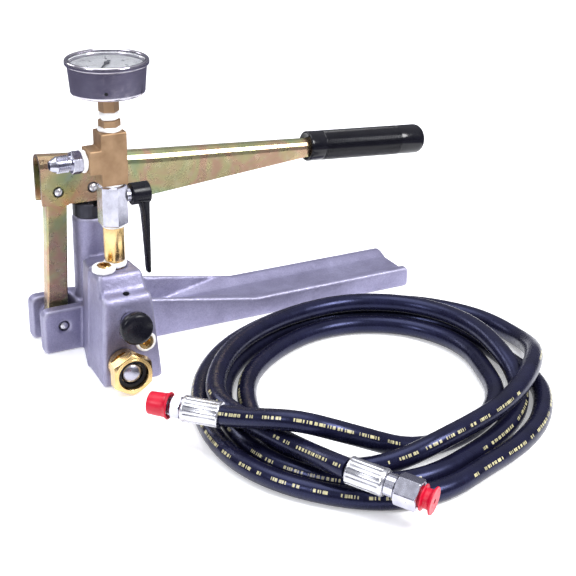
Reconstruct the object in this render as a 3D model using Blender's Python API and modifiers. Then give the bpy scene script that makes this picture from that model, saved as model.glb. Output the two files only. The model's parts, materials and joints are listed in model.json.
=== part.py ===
"""Hydraulic hand pump with gauge, shut-off valve and a loose delivery hose.

Metres, +Z up. +X runs along the foot and the handle, -Y is the front of the pump block.
The pump stands on z = 0. Sizes below are written in millimetres and scaled by MM.
"""
import math

import bmesh
import bpy
from mathutils import Matrix, Vector

MM = 0.001
GAP = 0.3            # clearance between touching solids

# ---- driving sizes (mm) -------------------------------------------------------------------
LINE_Y = 2.0                         # plane of link, handle and plunger
LINK_PIN = Vector((-28.5, LINE_Y, 21.0))
HANDLE_PIN = Vector((-23.7, LINE_Y, 124.5))
PLUNGER_PIN = Vector((3.0, LINE_Y, 124.5))
LINK_DEPTH = 10.5
LINK_WIDTH = 16.0
SHEET = 2.5
HANDLE_WIDTH = 17.5
PIN_R = 3.6
PLUNGER_R = 8.0
BOSS_R = 14.0
BOSS_TOP = 101.4
EAR_OUTER = 20.5                     # ear outer face from the link plane
EAR_INNER = 10.0
FOOT_END = 275.0
FOOT_HALF = 26.0
STACK = Vector((0.0, -56.7, 0.0))    # axis of nipple, valve, tee and gauge
TERRACE = 81.0
BALL_Z = 133.9
TEE_Z = 163.2
INLET = Vector((-8.2, 0.0, 17.4))
KNOB = Vector((-2.4, 0.0, 50.6))
FRONT_PLUG = Vector((9.7, 0.0, 31.6))
TOP_PLUG = Vector((-11.1, -63.5, 0.0))
HOSE_OD = 14.0

# ---- scene ---------------------------------------------------------------------------------
for old in list(bpy.data.objects):
    bpy.data.objects.remove(old, do_unlink=True)

PARTS = bpy.data.collections.new("hydraulic_hand_pump")
TOOLS = bpy.data.collections.new("cutters")
bpy.context.scene.collection.children.link(PARTS)
bpy.context.scene.collection.children.link(TOOLS)


def material(name, colour, metallic, roughness):
    mat = bpy.data.materials.new(name)
    mat.use_nodes = True
    shader = mat.node_tree.nodes["Principled BSDF"]
    shader.inputs["Base Color"].default_value = (*colour, 1.0)
    shader.inputs["Metallic"].default_value = metallic
    shader.inputs["Roughness"].default_value = roughness
    return mat


FINISHES = {
    "cast": ((0.50, 0.51, 0.56), 0.8, 0.5),
    "yellow_zinc": ((0.62, 0.55, 0.34), 0.9, 0.35),
    "zinc": ((0.75, 0.76, 0.78), 0.95, 0.3),
    "black_oxide": ((0.03, 0.03, 0.04), 0.6, 0.4),
    "steel": ((0.62, 0.63, 0.65), 0.95, 0.35),
    "stainless": ((0.66, 0.66, 0.70), 1.0, 0.22),
    "brass": ((0.72, 0.53, 0.25), 0.95, 0.35),
    "tee_brass": ((0.60, 0.44, 0.27), 0.85, 0.5),
    "black_plastic": ((0.02, 0.02, 0.025), 0.0, 0.35),
    "vinyl": ((0.015, 0.015, 0.018), 0.0, 0.25),
    "rubber": ((0.02, 0.02, 0.03), 0.0, 0.6),
    "hose": ((0.03, 0.03, 0.06), 0.0, 0.55),
    "red_plastic": ((0.75, 0.03, 0.05), 0.0, 0.4),
    "white": ((0.9, 0.9, 0.9), 0.0, 0.5),
    "ptfe": ((0.85, 0.85, 0.82), 0.0, 0.4),
    "glass": ((0.9, 0.93, 0.95), 0.0, 0.05),
}


def finish(obj, kind):
    colour, metallic, roughness = FINISHES[kind]
    obj.data.materials.clear()
    obj.data.materials.append(material(obj.name + "_material", colour, metallic, roughness))


def place(obj, at, kind=None, collection=None):
    obj.location = Vector(at) * MM
    (collection or PARTS).objects.link(obj)
    if kind:
        finish(obj, kind)
    return obj


def round_shade(obj):
    for polygon in obj.data.polygons:
        polygon.use_smooth = True
    obj.data.set_sharp_from_angle(angle=math.radians(35))


def mesh_object(name, bm, at=(0, 0, 0), kind=None, collection=None):
    bmesh.ops.recalc_face_normals(bm, faces=bm.faces)
    mesh = bpy.data.meshes.new(name)
    bm.to_mesh(mesh)
    bm.free()
    return place(bpy.data.objects.new(name, mesh), at, kind, collection)


AXES = {
    "z": Matrix.Identity(3),
    "x": Matrix.Rotation(math.radians(90), 3, "Y"),
    "-x": Matrix.Rotation(math.radians(-90), 3, "Y"),
    "-y": Matrix.Rotation(math.radians(90), 3, "X"),
    "y": Matrix.Rotation(math.radians(-90), 3, "X"),
}


def aim(obj, axis):
    """Turn an object built along +Z so that it points along axis."""
    turn = AXES[axis] if isinstance(axis, str) else axis
    obj.rotation_euler = turn.to_euler()
    return obj


def turned(name, profile, at, kind=None, axis="z", steps=28, collection=None):
    """A turned piece: profile is (radius, height) pairs, closed on itself or ending on the axis."""
    loop = zip(profile, profile[1:] + profile[:1])
    if sum(a[0] * b[1] - b[0] * a[1] for a, b in loop) > 0:
        profile = profile[::-1]
    bm = bmesh.new()
    points = [bm.verts.new((r * MM, 0.0, z * MM)) for r, z in profile]
    on_axis = profile[0][0] == 0 and profile[-1][0] == 0
    for first, second in zip(points, points[1:]):
        bm.edges.new((first, second))
    if not on_axis:
        bm.edges.new((points[-1], points[0]))
    mesh = bpy.data.meshes.new(name)
    bm.to_mesh(mesh)
    bm.free()
    obj = place(bpy.data.objects.new(name, mesh), at, kind, collection)
    screw = obj.modifiers.new("turn", "SCREW")
    screw.axis = "Z"
    screw.steps = steps
    screw.render_steps = steps
    screw.use_merge_vertices = True
    screw.merge_threshold = 0.00001
    screw.use_smooth_shade = True
    return aim(obj, axis)


def ring(name, outer, inner, low, high, at, kind=None, axis="z", steps=28, chamfer=0.0):
    c = chamfer
    profile = [(inner, high), (outer - c, high), (outer, high - c), (outer, low + c),
               (outer - c, low), (inner, low)]
    if c == 0:
        profile = [(inner, high), (outer, high), (outer, low), (inner, low)]
    return turned(name, profile, at, kind, axis, steps)


def rod(name, radius, low, high, at, kind=None, axis="z", sides=28, chamfer=0.0, collection=None,
        top_radius=None, spin=0.0):
    """A round or many-sided solid bar with optional chamfered ends, along axis."""
    bm = bmesh.new()
    top = radius if top_radius is None else top_radius
    bmesh.ops.create_cone(bm, cap_ends=True, segments=sides, radius1=radius * MM, radius2=top * MM,
                          depth=(high - low) * MM)
    bmesh.ops.rotate(bm, verts=bm.verts, matrix=Matrix.Rotation(spin, 3, "Z"))
    bmesh.ops.translate(bm, verts=bm.verts, vec=(0, 0, (high + low) / 2 * MM))
    obj = mesh_object(name, bm, at, kind, collection)
    if chamfer:
        bevel = obj.modifiers.new("chamfer", "BEVEL")
        bevel.width = chamfer * MM
        bevel.segments = 1
        bevel.limit_method = "ANGLE"
        bevel.angle_limit = math.radians(65)
    if sides > 8:
        round_shade(obj)
    return aim(obj, axis)


def hexagon(name, across_flats, low, high, at, kind=None, axis="z", spin=0.0, collection=None):
    return rod(name, across_flats / math.sqrt(3), low, high, at, kind, axis, sides=6, spin=spin,
               collection=collection)


def block(name, low, high, kind=None, collection=None, bevel=0.0, at=(0, 0, 0)):
    bm = bmesh.new()
    bmesh.ops.create_cube(bm, size=1.0)
    size = [(b - a) * MM for a, b in zip(low, high)]
    middle = [(b + a) / 2 * MM for a, b in zip(low, high)]
    bmesh.ops.scale(bm, verts=bm.verts, vec=size)
    bmesh.ops.translate(bm, verts=bm.verts, vec=middle)
    obj = mesh_object(name, bm, at, kind, collection)
    if bevel:
        soften(obj, bevel)
    return obj


def soften(obj, width, segments=2, angle=35):
    bevel = obj.modifiers.new("edges", "BEVEL")
    bevel.width = width * MM
    bevel.segments = segments
    bevel.limit_method = "ANGLE"
    bevel.angle_limit = math.radians(angle)
    return obj


def slab(name, outline, low, high, plane="xz", kind=None, collection=None, at=(0, 0, 0)):
    """An outline in the XZ or YZ plane, run from low to high along the third axis."""
    bm = bmesh.new()
    if plane == "xz":
        points = [bm.verts.new((a * MM, low * MM, b * MM)) for a, b in outline]
        travel = Vector((0, (high - low) * MM, 0))
    else:
        points = [bm.verts.new((low * MM, a * MM, b * MM)) for a, b in outline]
        travel = Vector(((high - low) * MM, 0, 0))
    face = bm.faces.new(points)
    extruded = bmesh.ops.extrude_face_region(bm, geom=[face])
    moved = [item for item in extruded["geom"] if isinstance(item, bmesh.types.BMVert)]
    bmesh.ops.translate(bm, verts=moved, vec=travel)
    return mesh_object(name, bm, at, kind, collection)


def combine(target, tool, operation):
    tool.hide_render = True
    tool.display_type = "WIRE"
    boolean = target.modifiers.new(operation.lower() + "_" + tool.name, "BOOLEAN")
    boolean.operation = operation
    boolean.solver = "EXACT"
    boolean.object = tool
    return target


def drill(target, name, radius, low, high, at, axis="z", sides=20, top_radius=None):
    tool = rod(name, radius, low, high, at, axis=axis, sides=sides, collection=TOOLS,
               top_radius=top_radius)
    return combine(target, tool, "DIFFERENCE")


def arc(centre, radius, start, end, steps):
    """Points of a round stretch, angles in degrees."""
    sweep = [math.radians(start + (end - start) * i / steps) for i in range(steps + 1)]
    return [(centre[0] + radius * math.cos(t), centre[1] + radius * math.sin(t)) for t in sweep]


def ball(name, radius, at, kind, segments=16, rings=10):
    bm = bmesh.new()
    bmesh.ops.create_uvsphere(bm, u_segments=segments, v_segments=rings, radius=radius * MM)
    obj = mesh_object(name, bm, at, kind)
    round_shade(obj)
    return obj


def wire(name, points, radius, kind, resolution=2, at=(0, 0, 0)):
    """A bar bent along points (mm), as a bevelled curve with filled caps."""
    curve = bpy.data.curves.new(name, "CURVE")
    curve.dimensions = "3D"
    curve.bevel_depth = radius * MM
    curve.bevel_resolution = resolution
    curve.use_fill_caps = True
    spline = curve.splines.new("POLY")
    spline.points.add(len(points) - 1)
    for slot, point in zip(spline.points, points):
        slot.co = (*(Vector(point) * MM), 1.0)
    return place(bpy.data.objects.new(name, curve), at, kind)


def spring(name, coil_radius, wire_radius, length, turns, at, axis, kind="stainless"):
    per_turn = 10
    count = int(turns * per_turn)
    points = []
    for i in range(count + 1):
        angle = 2 * math.pi * i / per_turn
        points.append((coil_radius * math.cos(angle), coil_radius * math.sin(angle),
                       length * i / count))
    return aim(wire(name, points, wire_radius, kind, at=at), axis)


# ---- base casting ---------------------------------------------------------------------------
def drafted(name, outline, left, right, collection=None):
    """A YZ outline whose side faces lean in, at x = -left(y, z) and x = right(y, z)."""
    obj = slab(name, outline, -1.0, 1.0, plane="yz", collection=collection)
    for vertex in obj.data.vertices:
        y = vertex.co.y / MM
        z = vertex.co.z / MM
        vertex.co.x = (-left(y, z) if vertex.co.x < 0 else right(y, z)) * MM
    return obj


BLOCK_FRONT = -88.3
NECK_Y = -47.0


def block_left(y, z):
    return 23.9 - 0.05 * (y - BLOCK_FRONT) - 0.05 * z


def block_right(y, z):
    return 22.9 - 0.06 * (y - BLOCK_FRONT) - 0.085 * z


def neck_left(y, z):
    return block_left(y, z) - 0.2 * (y - NECK_Y)


def neck_right(y, z):
    return block_right(y, z) - 0.1 * (y - NECK_Y)


TROUGH_STATIONS = (   # x, floor, half width there, height of the section's top, half width there
    (18, 10.0, 17.0, 42.0, 23.0),
    (60, 10.0, 16.0, 36.0, 23.0),
    (131, 12.0, 12.5, 20.0, 25.5),
    (FOOT_END + 9, 12.8, 12.5, 20.0, 25.5),
)


def foot_casting():
    """The trough-shaped foot: high splayed rims by the block, low ones further out."""
    side = [(12, 0), (FOOT_END, 0), (FOOT_END, 15.5), (FOOT_END - 2, 16.8), (131, 16.8),
            (42, 33), (20, 35), (12, 35)]
    foot = slab("foot_body", side, -FOOT_HALF, FOOT_HALF, collection=TOOLS)
    soften(foot, 1.6)
    rows = []
    bm = bmesh.new()
    for x, floor, floor_half, top, top_half in TROUGH_STATIONS:
        section = ((-top_half, top), (-floor_half, floor), (floor_half, floor), (top_half, top))
        rows.append([bm.verts.new((x * MM, y * MM, z * MM)) for y, z in section])
    for first, second in zip(rows, rows[1:]):
        for i in range(4):
            j = (i + 1) % 4
            bm.faces.new((first[i], first[j], second[j], second[i]))
    bm.faces.new(rows[0])
    bm.faces.new(rows[-1])
    trough = mesh_object("foot_trough", bm, collection=TOOLS)
    return combine(foot, trough, "DIFFERENCE")


def ear_outline():
    high, left, right = 35.0, -45.0, -8.0
    toe = arc((left + 3, 3), 3, 270, 180, 3)
    corner = arc((left + 6, high - 6), 6, 180, 90, 4)
    return [*toe, *corner, (right, high), (right, 0)]


def base_casting():
    profile = [(BLOCK_FRONT, 0), (-86.0, 64.5), (-83.0, 68.3), (-77.2, 68.3), (-72.0, TERRACE),
               (NECK_Y, TERRACE), (NECK_Y, 0)]
    base = drafted("base_casting", profile, block_left, block_right)
    finish(base, "cast")
    soften(base, 3.0)
    neck = [(NECK_Y - 4, 0), (NECK_Y - 4, TERRACE - 3), (NECK_Y + 1, TERRACE - 3.5),
            (-12.0, 71.0), (-12.0, 0)]
    combine(base, drafted("neck", neck, neck_left, neck_right, TOOLS), "UNION")
    boss_at = (PLUNGER_PIN.x, LINE_Y, 0)
    boss = rod("boss", BOSS_R + 1, 0, BOSS_TOP, boss_at, chamfer=1.5, collection=TOOLS,
               top_radius=BOSS_R, sides=32)
    combine(base, boss, "UNION")
    combine(base, foot_casting(), "UNION")
    heel = block("heel", (-14, LINE_Y - EAR_OUTER, 0), (30, LINE_Y + EAR_OUTER, 34.5),
                 collection=TOOLS, bevel=2.0)
    combine(base, heel, "UNION")
    for side, sign in (("front", -1), ("rear", 1)):
        span = sorted((LINE_Y + sign * EAR_OUTER, LINE_Y + sign * EAR_INNER))
        ear = slab("ear_" + side, ear_outline(), *span, collection=TOOLS)
        soften(ear, 1.5)
        combine(base, ear, "UNION")
        inner = LINK_DEPTH / 2 + GAP + 0.2
        low, high = sorted((LINE_Y + sign * (EAR_INNER + 2), LINE_Y + sign * inner))
        pad = rod("ear_pad_" + side, 8.5, low, high, (LINK_PIN.x, 0, LINK_PIN.z), axis="y",
                  collection=TOOLS)
        combine(base, pad, "UNION")
    web = block("ear_web", (-31, LINE_Y - EAR_INNER - 2, 0), (-10, LINE_Y + EAR_INNER + 2, 6),
                collection=TOOLS)
    combine(base, web, "UNION")

    bore_at = (PLUNGER_PIN.x, LINE_Y, 0)
    drill(base, "pump_bore", PLUNGER_R + 0.4, 28, 86, bore_at, sides=28)
    drill(base, "gland_bore", 11.3, 84, BOSS_TOP + 2, bore_at, sides=28)
    drill(base, "suction_riser", 3.0, 14, 30, bore_at)
    drill(base, "suction_cross", 3.0, INLET.x, PLUNGER_PIN.x, (0, LINE_Y, INLET.z), axis="x")
    drill(base, "inlet_thread", 9.5, -92, -70, (INLET.x, 0, INLET.z), axis="y", sides=28)
    drill(base, "suction_chamber", 6.0, -72, -42, (INLET.x, 0, INLET.z), axis="y")
    drill(base, "suction_passage", 3.0, -44, LINE_Y + 2, (INLET.x, 0, INLET.z), axis="y")
    drill(base, "front_plug_thread", 4.6, -92, -74, (FRONT_PLUG.x, 0, FRONT_PLUG.z), axis="y")
    drill(base, "pressure_passage", 2.5, -76, 0, (FRONT_PLUG.x, 0, FRONT_PLUG.z), axis="y")
    drill(base, "pressure_cross", 2.2, 0, FRONT_PLUG.x, (0, STACK.y, FRONT_PLUG.z), axis="x")
    drill(base, "nipple_thread", 6.9, 66, TERRACE + 5, STACK)
    drill(base, "discharge_chamber", 4.5, 48, 68, STACK)
    drill(base, "discharge_passage", 2.2, FRONT_PLUG.z, 50, STACK)
    drill(base, "release_thread", 5.0, -92, -69.5, (KNOB.x, 0, KNOB.z), axis="y")
    drill(base, "release_chamber", 2.6, -71, -63.5, (KNOB.x, 0, KNOB.z), axis="y")
    drill(base, "release_passage", 1.4, -65, -57, (KNOB.x, 0, KNOB.z), axis="y", sides=12)
    drill(base, "bleed_hole", 2.2, KNOB.z, 75, (-0.8, -79.3, 0), sides=16)
    drill(base, "top_plug_thread", 4.6, 68, TERRACE + 5, TOP_PLUG)
    drill(base, "ear_holes", 4.3, -30, 30, (LINK_PIN.x, LINE_Y, LINK_PIN.z), axis="y", sides=24)
    return base


# ---- pump: plunger, link, handle --------------------------------------------------------------
def plunger_group():
    at = (PLUNGER_PIN.x, LINE_Y, 0)
    rod_object = rod("plunger", PLUNGER_R, 34, 106, at, "steel", chamfer=1.0)
    pin_z = PLUNGER_PIN.z
    crown = arc((0, pin_z), 8.0, 0, 180, 8)
    tang = slab("plunger_tang", [(-8.0, 105), (8.0, 105), *crown], -5.2, 5.2, collection=TOOLS,
                at=at)
    combine(rod_object, tang, "UNION")
    reach = 1.9
    sides = [arc((reach, pin_z), 4.3, -90, 90, 8), arc((-reach, pin_z), 4.3, 90, 270, 8)]
    slot = slab("plunger_slot", sides[0] + sides[1], -9, 9, collection=TOOLS, at=at)
    combine(rod_object, slot, "DIFFERENCE")
    ring("plunger_seal", 11.0, 8.35, 84.4, 90.2, at, "rubber")
    seat = BOSS_TOP + GAP
    profile = [(8.35, 104.2), (9.9, 104.2), (9.9, 112.2), (12.6, 112.2), (13.4, 111.4),
               (13.4, seat), (11.0, seat), (11.0, 90.5), (8.35, 90.5)]
    gland = turned("gland_nut", profile, at, "black_oxide")
    for index in range(2):
        notch = block("gland_notch_%d" % index, (-14, -1.6, 110.2), (14, 1.6, 114),
                      collection=TOOLS, at=at)
        notch.rotation_euler = (0, 0, math.radians(90 * index))
        combine(gland, notch, "DIFFERENCE")


def link_bar():
    """The upright rocker: a channel with its web to the left and a pin at each end."""
    lean = HANDLE_PIN - LINK_PIN
    length = lean.length
    half = LINK_WIDTH / 2
    outline = arc((0, 0), half, 180, 360, 8) + arc((0, length), half, 0, 180, 8)
    bar = slab("link_bar", outline, -LINK_DEPTH / 2, LINK_DEPTH / 2, kind="yellow_zinc",
               at=LINK_PIN)
    soften(bar, 1.2)
    inside = LINK_DEPTH / 2 - SHEET
    hollow = block("link_hollow", (SHEET - half, -inside, -30), (30, inside, length + 30),
                   collection=TOOLS)
    hollow.parent = bar
    combine(bar, hollow, "DIFFERENCE")
    for name, height in (("link_hole_low", 0.0), ("link_hole_high", length)):
        hole = rod(name, PIN_R, -20, 20, (0, 0, height), axis="y", collection=TOOLS, sides=20)
        hole.parent = bar
        combine(bar, hole, "DIFFERENCE")
    bar.rotation_euler = (0, math.atan2(lean.x, lean.z), 0)
    return bar


HANDLE_STATIONS = (   # x, underside, crown, half width
    (-36.4, 115.2, 152.9, 8.75),
    (-17.0, 113.2, 151.2, 8.75),
    (-15.5, 114.2, 151.1, 8.75),
    (14.5, 113.5, 148.5, 8.75),
    (50.7, 111.6, 145.5, 8.75),
    (184.0, 122.3, 136.0, 7.2),
    (288.0, 115.1, 128.8, 7.2),
)


def channel_section(under, crown, half):
    """Half-round crown over straight walls, outer line then inner line."""
    spring_line = crown - half
    outer = [(-half, under), *arc((0, spring_line), half, 180, 0, 8), (half, under)]
    inner_half = half - SHEET
    inner = [(inner_half, under), *arc((0, spring_line), inner_half, 0, 180, 8),
             (-inner_half, under)]
    return outer + inner


def handle_channel():
    bm = bmesh.new()
    rows = []
    for x, under, crown, half in HANDLE_STATIONS:
        section = channel_section(under, crown, half)
        rows.append([bm.verts.new((x * MM, (LINE_Y + y) * MM, z * MM)) for y, z in section])
    for first, second in zip(rows, rows[1:]):
        for i in range(len(first)):
            j = (i + 1) % len(first)
            bm.faces.new((first[i], first[j], second[j], second[i]))
    for row in (rows[0], rows[-1]):
        last = len(row) - 1
        for i in range(len(row) // 2 - 1):
            bm.faces.new((row[i], row[i + 1], row[last - i - 1], row[last - i]))
    bmesh.ops.translate(bm, verts=bm.verts, vec=-HANDLE_PIN * MM)
    channel = mesh_object("handle_channel", bm, HANDLE_PIN, "yellow_zinc")
    for name, pin in (("handle_hole_link", HANDLE_PIN), ("handle_hole_plunger", PLUNGER_PIN)):
        drill(channel, name, 4.3, -20, 20, (pin.x, LINE_Y, pin.z), axis="y")
    return channel


GRIP_MOUTH = Vector((187.0, LINE_Y, 128.9))
GRIP_TIP = Vector((297.0, LINE_Y, 121.3))


def handle_grip():
    line = GRIP_TIP - GRIP_MOUTH
    length = line.length
    tilt = Matrix.Rotation(math.atan2(line.x, line.z), 3, "Y")
    tip = [(11.9 * math.cos(t), length - 6 + 6 * math.sin(t))
           for t in (math.radians(a) for a in (90, 65, 40, 20, 0))]
    profile = [(0, length)] + tip[1:] + [(12.3, length - 20), (12.3, length - 92),
                                         (11.7, length - 96), (11.7, 1.0), (11.2, 0), (0, 0)]
    grip = turned("handle_grip", profile, GRIP_MOUTH, "vinyl", axis=tilt, steps=32)
    pocket = block("grip_pocket", (-7.25, -7.6, -5), (7.25, 7.6, 104), collection=TOOLS,
                   at=GRIP_MOUTH)
    aim(pocket, tilt)
    combine(grip, pocket, "DIFFERENCE")
    return grip


def round_pin(name, radius, half_length, at):
    """A plain pin along Y with domed ends."""
    dome = [(0, half_length), (radius * 0.5, half_length - 0.3), (radius * 0.87, half_length - 1.0),
            (radius, half_length - 2.2)]
    profile = dome + [(r, -z) for r, z in reversed(dome)]
    return turned(name, profile, at, "zinc", axis="-y", steps=20)


def pins():
    round_pin("link_base_pin", 3.3, EAR_OUTER - 0.5, LINK_PIN)
    round_pin("handle_link_pin", 3.3, HANDLE_WIDTH / 2 + 1.2, HANDLE_PIN)
    round_pin("plunger_pin", 3.3, HANDLE_WIDTH / 2 + 2.0, PLUNGER_PIN)


# ---- front of the block ------------------------------------------------------------------------
def inlet_group():
    """Suction side: swivel nut on an adapter, strainer washer, check valve behind."""
    face = -87.8
    at = (INLET.x, face, INLET.z)
    adapter = [(5.2, 15.5), (10.9, 15.5), (10.9, 14.1), (8.5, 14.1), (8.5, 6.0), (12.0, 6.0),
               (12.0, 0.5), (9.2, 0.3), (9.2, -14.0), (5.2, -14.0)]
    turned("inlet_adapter", adapter, at, "brass", axis="-y")
    nut = hexagon("inlet_swivel_nut", 28.4, 12.3, 21.6, at, "brass", axis="-y")
    soften(nut, 0.9, segments=1, angle=70)
    drill(nut, "nut_mouth", 11.25, 13.8, 30, at, axis="-y", sides=28)
    drill(nut, "nut_neck", 8.9, 5, 15, at, axis="-y", sides=28)
    ring("inlet_washer", 10.9, 8.2, 15.8, 18.2, at, "rubber", axis="-y")
    dome = [(0, 20.2), (3.4, 19.6), (6.0, 18.1), (7.8, 16.1)]
    shell = dome + [(7.2, 15.8), (5.5, 17.4), (3.0, 18.9), (0, 19.5)]
    turned("inlet_screen", shell, at, "stainless", axis="-y", steps=24)
    ring("suction_seat", 5.6, 2.6, 17.0, 20.5, (INLET.x, -46.5, INLET.z), "brass", axis="-y")
    ball("suction_ball", 3.6, (INLET.x, -60.7, INLET.z), "stainless")
    spring("suction_spring", 3.2, 0.4, 13.3, 5, (INLET.x, -56.2, INLET.z), "y")


def front_plug():
    at = (FRONT_PLUG.x, -87.2, FRONT_PLUG.z)
    profile = [(0, 2.6), (5.4, 2.6), (6.2, 1.8), (6.2, 0.4), (4.3, 0.4), (4.3, -11.0), (0, -11.0)]
    plug = turned("front_plug", profile, at, "brass", axis="-y", steps=24)
    socket = hexagon("front_plug_socket", 5.6, -1.2, 6, at, axis="-y", collection=TOOLS)
    combine(plug, socket, "DIFFERENCE")


def top_plug():
    profile = [(0, 86.2), (4.8, 86.2), (5.3, 85.6), (5.3, 81.4), (4.3, 81.4), (4.3, 70), (0, 70)]
    plug = turned("top_plug", profile, TOP_PLUG, "brass", steps=24)
    socket = hexagon("top_plug_socket", 5.0, 82.4, 90, TOP_PLUG, collection=TOOLS)
    combine(plug, socket, "DIFFERENCE")


def release_group():
    """Pressure release: needle on a push-on round knob, in a screwed collar."""
    at = (KNOB.x, -86.6, KNOB.z)
    collar = [(2.6, 6.6), (5.0, 6.6), (6.1, 5.0), (6.1, 0.5), (4.7, 0.4), (4.7, -12.5),
              (2.6, -12.5)]
    turned("release_collar", collar, at, "zinc", axis="-y", steps=24)
    ring("release_seal", 4.7, 2.5, -16.4, -13.0, at, "rubber", axis="-y", steps=20)
    needle = [(0, 17.0), (2.2, 17.0), (2.2, -20.5), (0.7, -23.0), (0, -23.0)]
    turned("release_needle", needle, at, "steel", axis="-y", steps=16)
    cap = [(0, 20.8), (5.5, 20.5), (9.6, 19.5), (11.6, 17.4), (12.2, 14.8), (11.9, 12.4),
           (10.2, 10.8), (6.0, 9.6), (2.5, 9.6), (2.5, 17.3), (0, 17.3)]
    turned("release_knob", cap, at, "black_plastic", axis="-y", steps=28)


# ---- valve and fittings stack --------------------------------------------------------------------
def discharge_valve():
    ring("discharge_seat", 4.2, 1.7, 48.3, 50.2, STACK, "brass", steps=20)
    ball("discharge_ball", 2.5, (STACK.x, STACK.y, 52.6), "stainless")
    spring("discharge_spring", 2.2, 0.35, 9.0, 5, (STACK.x, STACK.y, 55.6), "z")


def shut_off_valve():
    nipple = [(4.4, 121), (5.6, 121), (6.5, 119.5), (6.5, 113.4), (7.6, 113.0), (7.6, 86.0),
              (6.5, 81.4), (6.5, 67.5), (4.4, 67.5)]
    turned("nipple", nipple, STACK, "brass")
    body = hexagon("valve_body", 19.0, 113.7, 143.8, STACK, "zinc")
    soften(body, 1.0, segments=1, angle=70)
    combine(body, rod("valve_tail", 6.5, 140, 151.5, STACK, collection=TOOLS), "UNION")
    drill(body, "valve_chamber", 6.8, 100, 140.2, STACK, sides=24)
    drill(body, "valve_outlet", 3.2, 130, 160, STACK)
    stem_at = (STACK.x, STACK.y, BALL_Z)
    drill(body, "stem_bore", 2.8, 4, 20, stem_at, axis="x", sides=16)
    ring("valve_retainer", 6.5, 3.3, 124.2, 127.6, STACK, "brass", steps=24)
    for name, low in (("valve_seat_lower", 127.9), ("valve_seat_upper", 138.9)):
        ring(name, 6.5, 3.3, low, low + 1.0, STACK, "ptfe", steps=24)
    plug = ball("valve_ball", 5.4, stem_at, "stainless", segments=20, rings=12)
    drill(plug, "valve_ball_bore", 2.9, -8, 8, stem_at, sides=16)
    rod("valve_stem", 2.4, 5.75, 23.6, stem_at, "zinc", axis="x", sides=16)
    ring("valve_gland", 5.0, 2.8, 9.9, 13.2, stem_at, "zinc", axis="x", steps=20)
    valve_lever(stem_at)


def valve_lever(stem_at):
    """Black lever on the valve stem, its arm hanging beside the valve when it is open."""
    lever = rod("valve_lever", 8.0, 13.6, 27.4, stem_at, "black_plastic", axis="x", chamfer=1.0)
    arm = [(22.0, 0.0), (27.3, 0.0), (27.1, -61.6), (24.2, -62.2)]
    arm_tool = slab("valve_lever_arm", arm, -4.4, 4.4, collection=TOOLS, at=stem_at)
    soften(arm_tool, 1.2)
    combine(lever, arm_tool, "UNION")
    drill(lever, "valve_lever_bore", 2.7, 10, 24.0, stem_at, axis="x", sides=16)
    drill(lever, "valve_lever_recess", 4.4, 25.8, 34, stem_at, axis="x")
    drill(lever, "valve_lever_screw_hole", 1.9, 22, 30, stem_at, axis="x", sides=12)
    screw = [(0, 27.8), (2.6, 27.8), (3.9, 27.0), (3.9, 26.1), (1.6, 26.1), (1.6, 24.2),
             (0, 24.2)]
    turned("lever_screw", screw, stem_at, "zinc", axis="x", steps=20)


def tee_group():
    half, branch = 9.7, 8.7
    outline = [(-half, 144.8), (half, 144.8), (half, 183.3), (-half, 183.3),
               (-half, TEE_Z + branch), (-18.4, TEE_Z + branch), (-18.4, TEE_Z - branch),
               (-half, TEE_Z - branch)]
    tee = slab("tee", outline, -8.5, 8.5, kind="tee_brass", at=STACK)
    soften(tee, 1.0)
    drill(tee, "tee_low", 6.8, 140, 153, STACK, sides=24)
    drill(tee, "tee_through", 4.0, 150, 180, STACK)
    drill(tee, "tee_high", 6.9, 175, 190, STACK, sides=24)
    branch_at = (STACK.x, STACK.y, TEE_Z)
    drill(tee, "tee_branch", 6.3, 10, 22, branch_at, axis="-x", sides=24)
    drill(tee, "tee_branch_through", 4.0, 0, 12, branch_at, axis="-x")
    outlet = hexagon("outlet_fitting", 15.0, 22.2, 29.4, branch_at, "zinc", axis="-x")
    combine(outlet, rod("outlet_root", 6.0, 11, 23, branch_at, axis="-x", collection=TOOLS),
            "UNION")
    thread = rod("outlet_thread", 6.0, 29, 41.2, branch_at, axis="-x", collection=TOOLS)
    combine(outlet, thread, "UNION")
    cone = rod("outlet_cone", 5.2, 40.8, 44.9, branch_at, axis="-x", collection=TOOLS,
               top_radius=2.9)
    combine(outlet, cone, "UNION")
    drill(outlet, "outlet_bore", 2.2, 8, 48, branch_at, axis="-x", sides=16)
    bushing = hexagon("gauge_bushing", 13.6, 186.4, 191.2, STACK, "tee_brass",
                      spin=math.radians(12))
    combine(bushing, rod("bushing_thread", 6.6, 177.5, 187.0, STACK, collection=TOOLS), "UNION")
    drill(bushing, "bushing_bore", 5.2, 184.5, 200, STACK)
    drill(bushing, "bushing_through", 3.0, 170, 190, STACK, sides=16)


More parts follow.
